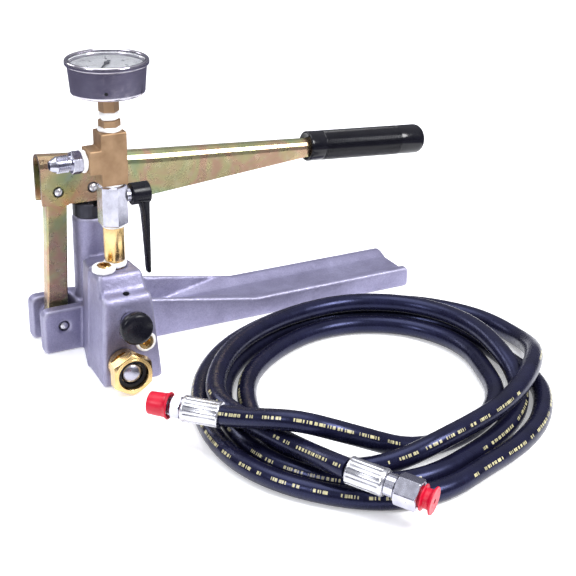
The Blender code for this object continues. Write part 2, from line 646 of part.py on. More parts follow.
# ---- pressure gauge --------------------------------------------------------------------------------
def gauge_group():
    case = [(0, 209.9), (23.0, 209.9), (25.5, 212.0), (27.2, 230.2), (26.2, 230.2), (24.5, 213.0),
            (22.6, 211.1), (0, 211.1)]
    shell = turned("gauge_case", list(reversed(case)), STACK, "stainless", steps=40)
    drill(shell, "case_hole", 5.6, 205, 215, STACK)
    bezel = [(25.8, 234.2), (28.0, 234.2), (29.0, 233.2), (29.0, 231.0), (28.4, 230.3),
             (27.6, 230.3), (27.6, 232.9), (25.8, 232.9)]
    turned("gauge_bezel", bezel, STACK, "stainless", steps=40)
    rod("gauge_lens", 27.2, 231.2, 232.6, STACK, "glass", sides=40)
    dial = rod("gauge_dial", 25.6, 228.2, 229.0, STACK, "white", sides=40)
    drill(dial, "dial_hole", 1.6, 225, 233, STACK, sides=16)
    pointer_at = (STACK.x, STACK.y, 229.3)
    blade = [(-7.0, 1.4), (-7.0, -1.4), (3.0, -1.0), (17.0, -0.3), (17.0, 0.3), (3.0, 1.0)]
    pointer = flat_xy("gauge_pointer", blade, 0.2, 1.0, pointer_at, "black_plastic")
    combine(pointer, rod("pointer_hub", 2.2, 0.0, 1.5, pointer_at, collection=TOOLS), "UNION")
    pointer.rotation_euler = (0, 0, math.radians(GAUGE_ZERO))
    socket = hexagon("gauge_socket", 12.6, 197.2, 209.6, STACK, "tee_brass",
                     spin=math.radians(12))
    combine(socket, rod("socket_neck", 5.2, 209, 218, STACK, collection=TOOLS), "UNION")
    combine(socket, rod("socket_thread", 4.9, 186.0, 198, STACK, collection=TOOLS), "UNION")
    drill(socket, "socket_bore", 2.0, 180, 215, STACK, sides=16)
    bend = [(math.cos(t) * 14.0, math.sin(t) * 14.0, 0)
            for t in (math.radians(a) for a in range(-60, 201, 20))]
    wire("gauge_tube", bend, 1.5, "brass", at=(STACK.x, STACK.y, 217.5))
    block("gauge_movement", (-5.5, -3.5, 219.8), (5.5, 3.5, 225.4), "brass",
          at=(STACK.x, STACK.y, 0))
    rod("gauge_staff", 1.2, 225.8, 227.8, STACK, "steel", sides=12)


GAUGE_ZERO = 235.0


def flat_xy(name, outline, low, high, at, kind):
    bm = bmesh.new()
    face = bm.faces.new([bm.verts.new((x * MM, y * MM, low * MM)) for x, y in outline])
    extruded = bmesh.ops.extrude_face_region(bm, geom=[face])
    moved = [item for item in extruded["geom"] if isinstance(item, bmesh.types.BMVert)]
    bmesh.ops.translate(bm, verts=moved, vec=(0, 0, (high - low) * MM))
    return mesh_object(name, bm, at, kind)


# ---- loose hose --------------------------------------------------------------------------------
COIL_CENTRE = Vector((143.0, -193.0, 0.0))
HOSE_END_A = Vector((15.7, -206.4, 29.0))      # where the tube leaves each ferrule
HOSE_END_B = Vector((58.8, -298.1, 27.0))
ALONG_A = Vector((-0.70, 0.714, 0.0)).normalized()
ALONG_B = Vector((0.57, -0.81, -0.09)).normalized()
HOSE_POINTS = 80
FLOOR_CLEAR = 0.2
HOSE_ROUTE = (   # bearing round the coil in degrees, distance from its centre, height
    (186, 128, 29), (195, 119.5, 32.5), (204, 114.5, 37.3), (212, 109.5, 39), (222, 102, 34),
    (235, 89, 23), (248, 79, 12), (262, 76.5, 7.3), (285, 77, 7.3), (315, 81, 7.3), (340, 87, 7.3),
    (360, 92, 7.3), (375, 103, 7.3), (392, 112.5, 7.3), (410, 117.5, 7.3), (430, 115.5, 7.3),
    (450, 107.5, 7.3), (475, 97.5, 7.3), (500, 94, 7.3), (525, 93, 7.3), (550, 98, 7.3),
    (570, 102.5, 7.3), (587, 104, 7.3), (600, 100.5, 9.8), (612, 97.5, 15.8), (625, 93, 21.3),
    (645, 88, 22.3), (665, 91, 22.5), (683, 99, 23.5), (698, 110, 23.5), (710, 123, 21.5),
    (722, 138, 14), (734, 151, 7.3), (750, 160, 7.3), (770, 160, 7.3), (790, 150, 7.3),
    (810, 142, 7.3), (835, 132, 7.3), (860, 126.5, 7.3), (885, 126, 7.3), (910, 131, 7.3),
    (930, 134.5, 7.3), (950, 135.5, 7.3), (965, 134.5, 7.3), (980, 127, 7.3), (995, 115, 7.3),
    (1015, 112.5, 7.3), (1035, 115.5, 7.3), (1055, 119.5, 7.3), (1068, 119.5, 7.3),
    (1080, 116.5, 7.3), (1095, 121.5, 7.3), (1112, 131, 7.3), (1130, 135, 7.3), (1150, 133, 7.3),
    (1170, 125, 7.3), (1195, 114.5, 7.3), (1220, 111, 7.3), (1245, 110, 7.3), (1270, 115, 7.3),
    (1290, 119, 7.3), (1310, 119.5, 7.3), (1325, 116.5, 7.3), (1340, 108.5, 7.3), (1355, 99.5, 7.3),
    (1375, 96, 7.3), (1395, 98, 7.3), (1412, 102, 8), (1427, 105, 14), (1440, 105.5, 20),
    (1455, 113, 21.8), (1472, 122.5, 21.8), (1490, 127.5, 21.8), (1510, 125.5, 21.8),
    (1530, 118, 21.8), (1550, 113, 22), (1570, 111.5, 22.3), (1590, 113, 22.3), (1610, 117, 21.8),
    (1630, 111, 22), (1645, 111, 21.8), (1655, 115, 22), (1664, 124.5, 25), (1671.3, 134.7, 27),
)


def smooth_path(points, count, lowest):
    """Evenly spaced points along a smooth curve through the given ones, kept off the floor."""
    fine = []
    ends = [2 * points[0] - points[1], *points, 2 * points[-1] - points[-2]]
    for a, b, c, d in zip(ends, ends[1:], ends[2:], ends[3:]):
        for step in range(12):
            t = step / 12
            fine.append((2 * b + (c - a) * t + (2 * a - 5 * b + 4 * c - d) * t ** 2
                         + (3 * b - a - 3 * c + d) * t ** 3) / 2)
    fine.append(points[-1])
    travelled = [0.0]
    for a, b in zip(fine, fine[1:]):
        travelled.append(travelled[-1] + (b - a).length)
    path = []
    at = 0
    for i in range(count):
        target = travelled[-1] * i / (count - 1)
        while at < len(fine) - 2 and travelled[at + 1] < target:
            at += 1
        share = (target - travelled[at]) / (travelled[at + 1] - travelled[at])
        point = fine[at].lerp(fine[at + 1], min(share, 1.0))
        point.z = max(point.z, lowest)
        path.append(point)
    return path


def hose_tube():
    route = [COIL_CENTRE + Vector((distance * math.cos(math.radians(bearing)),
                                   distance * math.sin(math.radians(bearing)), height))
             for bearing, distance, height in HOSE_ROUTE]
    route = [HOSE_END_A - 8 * ALONG_A, *route[1:-1], HOSE_END_B - 8 * ALONG_B]
    path = smooth_path(route, HOSE_POINTS, HOSE_OD / 2 + FLOOR_CLEAR)
    return wire("hose_tube", [HOSE_END_A, *path, HOSE_END_B], HOSE_OD / 2, "hose")


def facing(direction):
    return direction.to_track_quat("Z", "Y").to_matrix()


def crimped_ferrule(name, length, at, turn):
    """A sleeve squeezed on the hose, its outside ridged by the crimping jaws."""
    sleeve = rod(name, 9.4, GAP, length, at, "zinc", axis=turn, sides=16, chamfer=0.8)
    for vertex in sleeve.data.vertices:
        bearing = math.degrees(math.atan2(vertex.co.y, vertex.co.x))
        if round(bearing / 22.5) % 2:
            vertex.co.x *= 0.94
            vertex.co.y *= 0.94
    return drill(sleeve, name + "_bore", 3.2, -1, length + 1, at, axis=turn, sides=16)


def hose_end_a():
    """Crimped male end with a red push-on cap."""
    turn = facing(ALONG_A)
    crimped_ferrule("ferrule_a", 27.5, HOSE_END_A, turn)
    fitting = hexagon("fitting_a", 14.6, 27.8, 36.0, HOSE_END_A, "zinc", axis=turn)
    combine(fitting, rod("fitting_a_tail", 2.8, 4, 28.5, HOSE_END_A, axis=turn, sides=16,
                         collection=TOOLS), "UNION")
    combine(fitting, rod("fitting_a_thread", 6.0, 35.5, 47.5, HOSE_END_A, axis=turn, sides=24,
                         chamfer=0.8, collection=TOOLS), "UNION")
    drill(fitting, "fitting_a_bore", 1.7, 2, 50, HOSE_END_A, axis=turn, sides=12)
    cap = [(0, 51.5), (7.0, 51.5), (7.9, 50.6), (8.1, 39.5), (9.2, 39.2), (9.2, 36.4), (6.3, 36.4),
           (6.3, 48.5), (0, 48.5)]
    turned("cap_a", cap, HOSE_END_A, "red_plastic", axis=turn, steps=24)


def hose_end_b():
    """Crimped end with a swivel nut and a red flanged plug in its mouth."""
    turn = facing(ALONG_B)
    crimped_ferrule("ferrule_b", 26.0, HOSE_END_B, turn)
    fitting = [(1.7, 41.5), (5.2, 41.5), (6.6, 39.4), (6.6, 38.0), (5.0, 37.2), (5.0, 32.6),
               (7.4, 32.2), (7.4, 26.3), (2.8, 26.3), (2.8, 4.0), (1.7, 4.0)]
    turned("fitting_b", fitting, HOSE_END_B, "zinc", axis=turn, steps=20)
    nut = hexagon("swivel_nut_b", 18.5, 32.9, 48.6, HOSE_END_B, "zinc", axis=turn)
    soften(nut, 0.8, segments=1, angle=70)
    drill(nut, "nut_b_neck", 5.4, 30, 38, HOSE_END_B, axis=turn)
    drill(nut, "nut_b_mouth", 7.0, 37.2, 52, HOSE_END_B, axis=turn)
    plug = [(0, 55.6), (1.7, 55.6), (1.7, 57.6), (8.8, 57.6), (9.2, 57.1), (9.2, 55.2),
            (6.6, 54.4), (6.6, 51.2), (8.6, 50.8), (8.6, 49.0), (6.7, 49.0), (6.4, 42.5), (0, 42.5)]
    turned("cap_b", plug, HOSE_END_B, "red_plastic", axis=turn, steps=24)


base_casting()
plunger_group()
link_bar()
handle_channel()
handle_grip()
pins()
inlet_group()
front_plug()
top_plug()
release_group()
discharge_valve()
shut_off_valve()
tee_group()
gauge_group()
hose_tube()
hose_end_a()
hose_end_b()
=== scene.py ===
"""Looks of the hydraulic hand pump: skins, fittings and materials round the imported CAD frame.

The frame is in metres, +Z up. Shapes here are written in millimetres and scaled by MM, in the
CAD's own axes, so a piece built round a point of the frame needs no fitting.
"""
import json
import math

import bmesh
import bpy
from mathutils import Matrix, Vector, noise


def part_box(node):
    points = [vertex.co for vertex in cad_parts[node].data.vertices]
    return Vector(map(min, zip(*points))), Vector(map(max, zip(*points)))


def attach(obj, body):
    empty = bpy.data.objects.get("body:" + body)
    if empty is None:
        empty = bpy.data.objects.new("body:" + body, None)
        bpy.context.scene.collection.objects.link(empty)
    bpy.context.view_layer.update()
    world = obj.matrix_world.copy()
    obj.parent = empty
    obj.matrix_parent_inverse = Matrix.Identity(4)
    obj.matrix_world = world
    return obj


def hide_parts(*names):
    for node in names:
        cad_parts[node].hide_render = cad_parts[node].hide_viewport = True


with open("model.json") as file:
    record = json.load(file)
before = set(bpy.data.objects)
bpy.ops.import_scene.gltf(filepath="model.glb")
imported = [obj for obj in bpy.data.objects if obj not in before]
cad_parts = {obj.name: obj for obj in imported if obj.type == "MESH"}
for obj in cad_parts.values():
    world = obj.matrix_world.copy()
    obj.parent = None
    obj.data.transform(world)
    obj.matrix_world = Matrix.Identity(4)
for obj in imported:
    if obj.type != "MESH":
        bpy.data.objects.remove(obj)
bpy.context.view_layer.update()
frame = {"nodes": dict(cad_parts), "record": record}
NODES = frame["nodes"]
MM = 0.001
UP = Vector((0, 0, 1))
JOINTS = {joint["name"]: joint for joint in frame["record"]["behaviour"]["joints"]}


# ---- camera, lights and floor ----------------------------------------------------------------
CAMERA_AT = Vector((-0.2997, -0.8926, 0.4576))
CAMERA_BEARING = math.radians(-27.87)
CAMERA_PITCH = math.radians(24.05)
CAMERA_ROLL = math.radians(0.95)
SENSOR_WIDTH = 36
CAMERA_LENS = 82.26          # mm on that sensor width
FLOOR_REACH = 9.0
FLOOR_GLOW = 0.32
SKIRT_CENTRE = Vector((0.06, -0.1, 0.002))
SKIRT_INNER = 0.46
SKIRT_OUTER = 3.0
LIGHTS_AIM = (0.08, -0.1, 0.06)
LIGHTS = (                   # name, place, disc size in m, watts, colour
    ("key", (0.72, -1.1, 1.2), 0.7, 27, (1, 1, 1)),
    ("top", (-0.15, 0.15, 1.8), 1.5, 20, (0.96, 0.98, 1.0)),
    ("left", (-1.4, -0.55, 0.95), 0.6, 9, (0.95, 0.97, 1.0)),
    ("back", (-0.7, 1.3, 1.1), 0.7, 7, (1, 1, 1)),
)
WORLD_STRENGTH = 0.8
WORLD_STOPS = ((0.0, (0.16, 0.16, 0.2, 1)), (0.3, (0.3, 0.3, 0.36, 1)),
               (0.8, (0.85, 0.86, 0.9, 1)))        # share of the way up, colour


def make_camera():
    back = Vector((math.sin(CAMERA_BEARING) * math.cos(CAMERA_PITCH),
                   -math.cos(CAMERA_BEARING) * math.cos(CAMERA_PITCH), math.sin(CAMERA_PITCH)))
    right = Vector((math.cos(CAMERA_BEARING), math.sin(CAMERA_BEARING), 0))
    up = back.cross(right)
    tilted_right = right * math.cos(CAMERA_ROLL) + up * math.sin(CAMERA_ROLL)
    tilted_up = up * math.cos(CAMERA_ROLL) - right * math.sin(CAMERA_ROLL)
    data = bpy.data.cameras.new("camera")
    data.lens = CAMERA_LENS
    data.sensor_width = SENSOR_WIDTH
    data.clip_start = 0.01
    camera = bpy.data.objects.new("camera", data)
    bpy.context.scene.collection.objects.link(camera)
    turn = Matrix((tilted_right, tilted_up, back)).transposed()
    camera.matrix_world = Matrix.Translation(CAMERA_AT) @ turn.to_4x4()
    bpy.context.scene.camera = camera


def area_light(name, at, size, watts, colour):
    data = bpy.data.lights.new(name, "AREA")
    data.shape = "DISK"
    data.size = size
    data.energy = watts
    data.color = colour
    lamp = bpy.data.objects.new(name, data)
    bpy.context.scene.collection.objects.link(lamp)
    lamp.location = at
    lamp.rotation_euler = (Vector(at) - Vector(LIGHTS_AIM)).to_track_quat("Z", "Y").to_euler()


def flat_panel(name, corners):
    mesh = bpy.data.meshes.new(name)
    mesh.from_pydata(corners, [], [tuple(range(len(corners)))])
    panel = bpy.data.objects.new(name, mesh)
    bpy.context.scene.collection.objects.link(panel)
    return panel


def flat_ring(name, middle, inner, outer, sides=48):
    bearings = [2 * math.pi * i / sides for i in range(sides)]
    mesh = bpy.data.meshes.new(name)
    spots = [middle + Vector((radius * math.cos(b), radius * math.sin(b), 0))
             for radius in (inner, outer) for b in bearings]
    mesh.from_pydata(spots, [], [(i, (i + 1) % sides, sides + (i + 1) % sides, sides + i)
                                 for i in range(sides)])
    ring = bpy.data.objects.new(name, mesh)
    bpy.context.scene.collection.objects.link(ring)
    return ring


def plain_material(name, colour, roughness):
    material = bpy.data.materials.new(name)
    material.use_nodes = True
    shader = material.node_tree.nodes["Principled BSDF"]
    shader.inputs["Base Color"].default_value = (*colour, 1)
    shader.inputs["Roughness"].default_value = roughness
    return material


def make_floor():
    """A pale floor that glows a little, as a lit paper sweep does."""
    reach = FLOOR_REACH
    floor = flat_panel("floor", [(-reach, -reach, 0), (reach, -reach, 0), (reach, reach, 0),
                                 (-reach, reach, 0)])
    paper = plain_material("floor_paper", (0.92, 0.92, 0.93), 0.7)
    glow = paper.node_tree.nodes["Principled BSDF"]
    glow.inputs["Emission Color"].default_value = (1, 1, 1, 1)
    glow.inputs["Emission Strength"].default_value = FLOOR_GLOW
    floor.data.materials.append(paper)


def make_skirt():
    """A dark ring round the object that only its gloss sees, so that metal has contrast."""
    skirt = flat_ring("dark_skirt", SKIRT_CENTRE, SKIRT_INNER, SKIRT_OUTER)
    skirt.data.materials.append(plain_material("dark_skirt_felt", (0.09, 0.085, 0.13), 0.9))
    skirt.visible_camera = False
    skirt.visible_diffuse = False
    skirt.visible_transmission = False
    skirt.visible_shadow = False


def make_world():
    """A sky that brightens with height."""
    world = bpy.data.worlds.new("studio")
    bpy.context.scene.world = world
    world.use_nodes = True
    nodes = world.node_tree.nodes
    links = world.node_tree.links
    place = nodes.new("ShaderNodeTexCoord")
    split = nodes.new("ShaderNodeSeparateXYZ")
    ramp = nodes.new("ShaderNodeValToRGB")
    links.new(place.outputs["Generated"], split.inputs[0])
    links.new(split.outputs["Z"], ramp.inputs[0])
    links.new(ramp.outputs[0], nodes["Background"].inputs["Color"])
    elements = ramp.color_ramp.elements
    elements.new(0.5)
    for element, (position, colour) in zip(elements, WORLD_STOPS):
        element.position = position
        element.color = colour
    nodes["Background"].inputs["Strength"].default_value = WORLD_STRENGTH


def make_studio():
    make_floor()
    make_skirt()
    for light in LIGHTS:
        area_light(*light)
    make_world()
    bpy.context.scene.view_settings.view_transform = "Standard"


# ---- materials ---------------------------------------------------------------------------------
class Paint:
    """A Principled material whose textures are read in the object's own metres."""

    def __init__(self, name, colour, metallic=0.0, roughness=0.5, **sockets):
        self.material = bpy.data.materials.new(name)
        self.material.use_nodes = True
        self.nodes = self.material.node_tree.nodes
        self.links = self.material.node_tree.links
        self.shader = self.nodes["Principled BSDF"]
        self.set("Base Color", (*colour, 1))
        self.set("Metallic", metallic)
        self.set("Roughness", roughness)
        for socket, value in sockets.items():
            self.set(socket.replace("_", " "), value)
        self.place = self.nodes.new("ShaderNodeTexCoord").outputs["Object"]
        self.height = None

    def set(self, socket, value):
        self.shader.inputs[socket].default_value = value

    def stretched(self, stretch):
        mapping = self.nodes.new("ShaderNodeMapping")
        mapping.inputs["Scale"].default_value = stretch
        self.links.new(self.place, mapping.inputs["Vector"])
        return mapping.outputs[0]

    def noise(self, size, detail=2.0, stretch=None, distortion=0.0):
        """Noise whose features are about size millimetres, smaller along a stretched axis."""
        node = self.nodes.new("ShaderNodeTexNoise")
        node.inputs["Scale"].default_value = 1 / (size * MM)
        node.inputs["Detail"].default_value = detail
        node.inputs["Distortion"].default_value = distortion
        source = self.stretched(stretch) if stretch else self.place
        self.links.new(source, node.inputs["Vector"])
        return node.outputs["Fac"]

    def ramp(self, source, *stops):
        node = self.nodes.new("ShaderNodeValToRGB")
        elements = node.color_ramp.elements
        while len(elements) < len(stops):
            elements.new(0.5)
        for element, (position, colour) in zip(elements, stops):
            element.position = position
            element.color = (*colour, 1)
        self.links.new(source, node.inputs[0])
        return node.outputs[0]

    def span(self, source, low, high, start=0.3, end=0.7):
        node = self.nodes.new("ShaderNodeMapRange")
        node.inputs["From Min"].default_value = start
        node.inputs["From Max"].default_value = end
        node.inputs["To Min"].default_value = low
        node.inputs["To Max"].default_value = high
        self.links.new(source, node.inputs["Value"])
        return node.outputs[0]

    def math(self, operation, first, second=None):
        node = self.nodes.new("ShaderNodeMath")
        node.operation = operation
        for slot, value in enumerate((first, second)):
            if value is None:
                continue
            if isinstance(value, (int, float)):
                node.inputs[slot].default_value = value
            else:
                self.links.new(value, node.inputs[slot])
        return node.outputs[0]

    def mix(self, factor, first, second, blend="MIX"):
        node = self.nodes.new("ShaderNodeMix")
        node.data_type = "RGBA"
        node.blend_type = blend
        slots = [s for s in node.inputs if s.type == "RGBA"]
        for slot, value in zip(slots, (first, second)):
            if isinstance(value, tuple):
                slot.default_value = (*value, 1)
            else:
                self.links.new(value, slot)
        if isinstance(factor, (int, float)):
            node.inputs[0].default_value = factor
        else:
            self.links.new(factor, node.inputs[0])
        return next(s for s in node.outputs if s.type == "RGBA")

    def feed(self, socket, output):
        self.links.new(output, self.shader.inputs[socket])
        return self

    def bump(self, source, depth):
        """Adds relief depth millimetres high on top of what is there."""
        node = self.nodes.new("ShaderNodeBump")
        node.inputs["Strength"].default_value = 1.0
        node.inputs["Distance"].default_value = depth * MM
        self.links.new(source, node.inputs["Height"])
        if self.height:
            self.links.new(self.height, node.inputs["Normal"])
        self.height = node.outputs[0]
        return self.feed("Normal", self.height)

    def edges(self):
        """Bright on convex edges, from how sharply the mesh turns."""
        node = self.nodes.new("ShaderNodeNewGeometry")
        return node.outputs["Pointiness"]


def metal(name, dark, light, roughness, grain=1.4, relief=0.002, metallic=1.0):
    """A bare or plated metal with faint stains, fine handling marks and uneven gloss."""
    paint = Paint(name, light, metallic, roughness)
    stain = paint.ramp(paint.noise(11, 3), (0.3, dark), (0.65, light))
    paint.feed("Base Color", stain)
    paint.feed("Roughness", paint.span(paint.noise(4, 3), roughness - 0.05, roughness + 0.08))
    paint.bump(paint.noise(grain, 3), relief)
    return paint


def cast_metal():
    paint = Paint("cast_aluminium", (0.42, 0.42, 0.5), 0.6, 0.45)
    broad = paint.ramp(paint.noise(26, 4, distortion=0.4), (0.3, (0.235, 0.225, 0.345)),
                       (0.7, (0.33, 0.32, 0.475)))
    specks = paint.ramp(paint.noise(1.1, 3), (0.35, (0.72, 0.7, 0.74)), (0.62, (1, 1, 1)))
    shade = paint.mix(0.55, broad, specks, "MULTIPLY")
    rubbed = paint.span(paint.edges(), 0.0, 0.7, 0.512, 0.56)
    paint.feed("Base Color", paint.mix(rubbed, shade, (0.58, 0.57, 0.68)))
    paint.feed("Roughness", paint.span(paint.noise(5, 4), 0.38, 0.56))
    paint.bump(paint.noise(0.9, 3), 0.16)
    return paint.bump(paint.noise(4.5, 2), 0.35)


def yellow_plate():
    """Yellow chromate over zinc: straw colour drifting to pink, green and blue."""
    paint = Paint("yellow_zinc_plate", (0.6, 0.5, 0.3), 0.92, 0.3)
    drift = paint.noise(34, 3, distortion=0.8)
    film = paint.ramp(drift, (0.24, (0.30, 0.38, 0.36)), (0.37, (0.31, 0.37, 0.20)),
                      (0.48, (0.43, 0.38, 0.20)), (0.57, (0.46, 0.29, 0.20)),
                      (0.66, (0.42, 0.36, 0.19)), (0.78, (0.29, 0.35, 0.34)))
    worn = paint.span(paint.noise(6, 3), 0.0, 0.25, 0.5, 0.75)
    paint.feed("Base Color", paint.mix(worn, film, (0.50, 0.49, 0.37)))
    paint.feed("Roughness", paint.span(paint.noise(9, 3), 0.22, 0.34))
    return paint.bump(paint.noise(2.0, 2), 0.006)


def dull_brass():
    paint = metal("dull_brass", (0.30, 0.185, 0.10), (0.43, 0.28, 0.16), 0.46, 0.7, 0.02, 0.7)
    return paint.bump(paint.noise(2.5, 3), 0.08)


def turned_metal(name, dark, light, roughness):
    """Machined metal with fine turning lines across its length."""
    paint = metal(name, dark, light, roughness)
    return paint.bump(paint.noise(0.9, 2, (0.05, 0.05, 1.0)), 0.0015)


def moulded(name, colour, roughness, grain=0.6, relief=0.012, **sockets):
    paint = Paint(name, colour, 0.0, roughness, **sockets)
    paler = tuple(min(1.0, c * 1.2 + 0.002) for c in colour)
    paint.feed("Base Color", paint.ramp(paint.noise(12, 4), (0.35, colour), (0.7, paler)))
    paint.feed("Roughness", paint.span(paint.noise(5, 4), roughness - 0.05, roughness + 0.09))
    return paint.bump(paint.noise(grain, 2), relief)


HOSE_LAY = 0.10              # where the pale print runs, as a share of the way round
HOSE_LAY_HALF = 0.024


def hose_cover():
    """Blue-black rubber cover with a faint grain and a broken, unreadable pale print line."""
    paint = Paint("hose_cover", (0.012, 0.012, 0.03), 0.0, 0.34, Specular_IOR_Level=0.42,
                  Specular_Tint=(0.45, 0.5, 1.0, 1.0))
    base = paint.ramp(paint.noise(18, 4), (0.35, (0.004, 0.004, 0.012)),
                      (0.7, (0.007, 0.007, 0.022)))
    uv = paint.nodes.new("ShaderNodeUVMap")
    uv.uv_map = "along"
    split = paint.nodes.new("ShaderNodeSeparateXYZ")
    paint.links.new(uv.outputs[0], split.inputs[0])
    along = split.outputs["X"]
    around = split.outputs["Y"]

    def marks(size, threshold):
        """Irregular marks about size millimetres long, on where the noise is high."""
        node = paint.nodes.new("ShaderNodeTexNoise")
        node.noise_dimensions = "1D"
        node.inputs["Scale"].default_value = 1 / (size * MM)
        node.inputs["Detail"].default_value = 0.0
        paint.links.new(along, node.inputs["W"])
        return paint.math("GREATER_THAN", node.outputs["Fac"], threshold)

    offset = paint.math("ABSOLUTE", paint.math("SUBTRACT", around, HOSE_LAY))
    band = paint.math("LESS_THAN", offset, HOSE_LAY_HALF)
    dashes = paint.math("MULTIPLY", marks(1.5, 0.47), marks(9.0, 0.42))
    mask = paint.math("MULTIPLY", paint.math("MULTIPLY", dashes, marks(70.0, 0.4)), band)
    faded = paint.math("MULTIPLY", mask, paint.span(paint.noise(3, 3), 0.5, 1.0))
    paint.feed("Base Color", paint.mix(faded, base, (0.62, 0.57, 0.32)))
    paint.feed("Roughness", paint.span(paint.noise(6, 4), 0.2, 0.34))
    return paint.bump(paint.noise(0.9, 2), 0.015)


def clear_glass():
    paint = Paint("gauge_glass", (0.96, 0.98, 0.99), 0.0, 0.02, Transmission_Weight=1.0, IOR=1.45)
    paint.feed("Roughness", paint.span(paint.noise(8, 3), 0.01, 0.05))
    return paint


CAST = cast_metal()
YELLOW = yellow_plate()
ZINC = metal("bright_zinc", (0.40, 0.40, 0.47), (0.52, 0.52, 0.60), 0.2)
PIN_ZINC = metal("pin_zinc", (0.62, 0.62, 0.66), (0.74, 0.74, 0.78), 0.38)
CRIMP = metal("crimped_steel", (0.50, 0.50, 0.54), (0.68, 0.68, 0.72), 0.27, 0.9, 0.006)
STEEL = turned_metal("ground_steel", (0.42, 0.42, 0.45), (0.58, 0.58, 0.62), 0.28)
OXIDE = metal("black_oxide", (0.02, 0.02, 0.03), (0.04, 0.04, 0.055), 0.35, metallic=0.6)
STRAINER = metal("strainer_steel", (0.30, 0.30, 0.36), (0.42, 0.42, 0.50), 0.3)
CHROME = metal("polished_stainless", (0.50, 0.47, 0.53), (0.58, 0.56, 0.62), 0.12, 2.5, 0.002)
BRASS = turned_metal("machined_brass", (0.62, 0.42, 0.17), (0.76, 0.55, 0.27), 0.22)
TEE_BRASS = dull_brass()
BLACK = moulded("black_moulding", (0.004, 0.004, 0.008), 0.26, Specular_IOR_Level=0.22)
VINYL = moulded("black_vinyl", (0.003, 0.003, 0.006), 0.16, Specular_IOR_Level=0.32)
RUBBER = moulded("black_rubber", (0.007, 0.007, 0.010), 0.5, Specular_IOR_Level=0.2)
RED = moulded("red_plastic", (0.45, 0.002, 0.022), 0.34, Specular_IOR_Level=0.35)
WHITE = moulded("dial_white", (0.82, 0.80, 0.81), 0.45)
PTFE = moulded("ptfe_tape", (0.80, 0.80, 0.79), 0.5, 0.5, 0.08)
INK = moulded("dial_ink", (0.02, 0.02, 0.025), 0.5)
# painted shade: near-black matt colour for the disc that stands in for the shadow inside the bleed
# hole
HOLE_SHADE = moulded("painted_hole_shade", (0.004, 0.004, 0.006), 0.8, Specular_IOR_Level=0.1)
GLASS = clear_glass()
HOSE = hose_cover()


# ---- building blocks ---------------------------------------------------------------------------
def centre(node):
    low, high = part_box(node)
    return (low + high) / 2


def facing(direction):
    return Vector(direction).to_track_quat("Z", "Y").to_matrix()


def shade(obj, paint, angle=32):
    obj.data.materials.clear()
    obj.data.materials.append(paint.material)
    for polygon in obj.data.polygons:
        polygon.use_smooth = True
    obj.data.set_sharp_from_angle(angle=math.radians(angle))
    return obj


def new_piece(name, bm, paint, angle=32):
    bmesh.ops.recalc_face_normals(bm, faces=bm.faces)
    mesh = bpy.data.meshes.new(name)
    bm.to_mesh(mesh)
    bm.free()
    obj = bpy.data.objects.new(name, mesh)
    bpy.context.scene.collection.objects.link(obj)
    return shade(obj, paint, angle)


def bevelled(obj, width):
    """Rounds edges sharper than 40 degrees, width millimetres wide."""
    bevel = obj.modifiers.new("edges", "BEVEL")
    bevel.width = width * MM
    bevel.segments = 2
    bevel.limit_method = "ANGLE"
    bevel.angle_limit = math.radians(40)
    bevel.harden_normals = True
    return obj


def dress(paint, *nodes, bevel=0.0, angle=32):
    """A CAD node that keeps its shape gets a material and softened edges."""
    for node in nodes:
        obj = shade(NODES[node], paint, angle)
        if bevel:
            bevelled(obj, bevel)


def add(obj, body, *nodes, slot=None):
    """Rides a new piece on a body, in place of the CAD nodes named."""
    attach(obj, body)
    if nodes:
        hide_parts(*nodes)
    return obj


def stack_rings(bm, rings, closed):
    """Joins rings of as many vertices each with quads; closed also joins last to first."""
    pairs = list(zip(rings, rings[1:]))
    if closed:
        pairs.append((rings[-1], rings[0]))
    for first, second in pairs:
        count = len(first)
        for i in range(count):
            j = (i + 1) % count
            bm.faces.new((first[i], first[j], second[j], second[i]))


def lathe(name, profile, at, direction, paint, segments=72, angle=32, rim=None):
    """A turned piece from (radius, height) pairs in mm: closed on itself, or ending on the axis.

    rim(bearing, radius, height) returns the radius and height to use, for flats and seams.
    """
    turn = facing(direction)
    bm = bmesh.new()
    on_axis = profile[0][0] == 0 and profile[-1][0] == 0
    rows = profile[1:-1] if on_axis else profile
    rings = []
    for radius, height in rows:
        ring = []
        for i in range(segments):
            bearing = 2 * math.pi * i / segments
            r, h = rim(bearing, radius, height) if rim else (radius, height)
            spot = Vector((r * math.cos(bearing), r * math.sin(bearing), h)) * MM
            ring.append(bm.verts.new(Vector(at) + turn @ spot))
        rings.append(ring)
    stack_rings(bm, rings, closed=not on_axis)
    if on_axis:
        for ring, height in ((rings[0], profile[0][1]), (rings[-1], profile[-1][1])):
            tip = bm.verts.new(Vector(at) + turn @ Vector((0, 0, height * MM)))
            for i in range(segments):
                bm.faces.new((ring[i], ring[(i + 1) % segments], tip))
    return new_piece(name, bm, paint, angle)


def arc(middle, radius, start, end, steps):
    """Points of a round stretch, angles in degrees."""
    sweep = [math.radians(start + (end - start) * i / steps) for i in range(steps + 1)]
    return [(middle[0] + radius * math.cos(t), middle[1] + radius * math.sin(t)) for t in sweep]


def hexagon(name, flats, low, high, bore, at, direction, paint, spin=0.0, both_faces=True):
    """A bored hexagon with turned 30 degree chamfers on its high face, or on both faces."""
    half = flats / 2
    land = half * 0.97

    def rim(bearing, radius, height):
        if radius < half:
            return radius, height
        side = (bearing - spin + math.pi / 6) % (math.pi / 3) - math.pi / 6
        reach = half / math.cos(side)
        drop = (reach - land) * math.tan(math.radians(30))
        if height == high:
            return reach, high - drop
        if height == low and both_faces:
            return reach, low + drop
        return reach, height

    profile = [(bore, low), (land, low), (half, low), (half, high), (land, high), (bore, high)]
    piece = lathe(name, profile, at, direction, paint, 96, 24, rim)
    return bevelled(piece, 0.22)


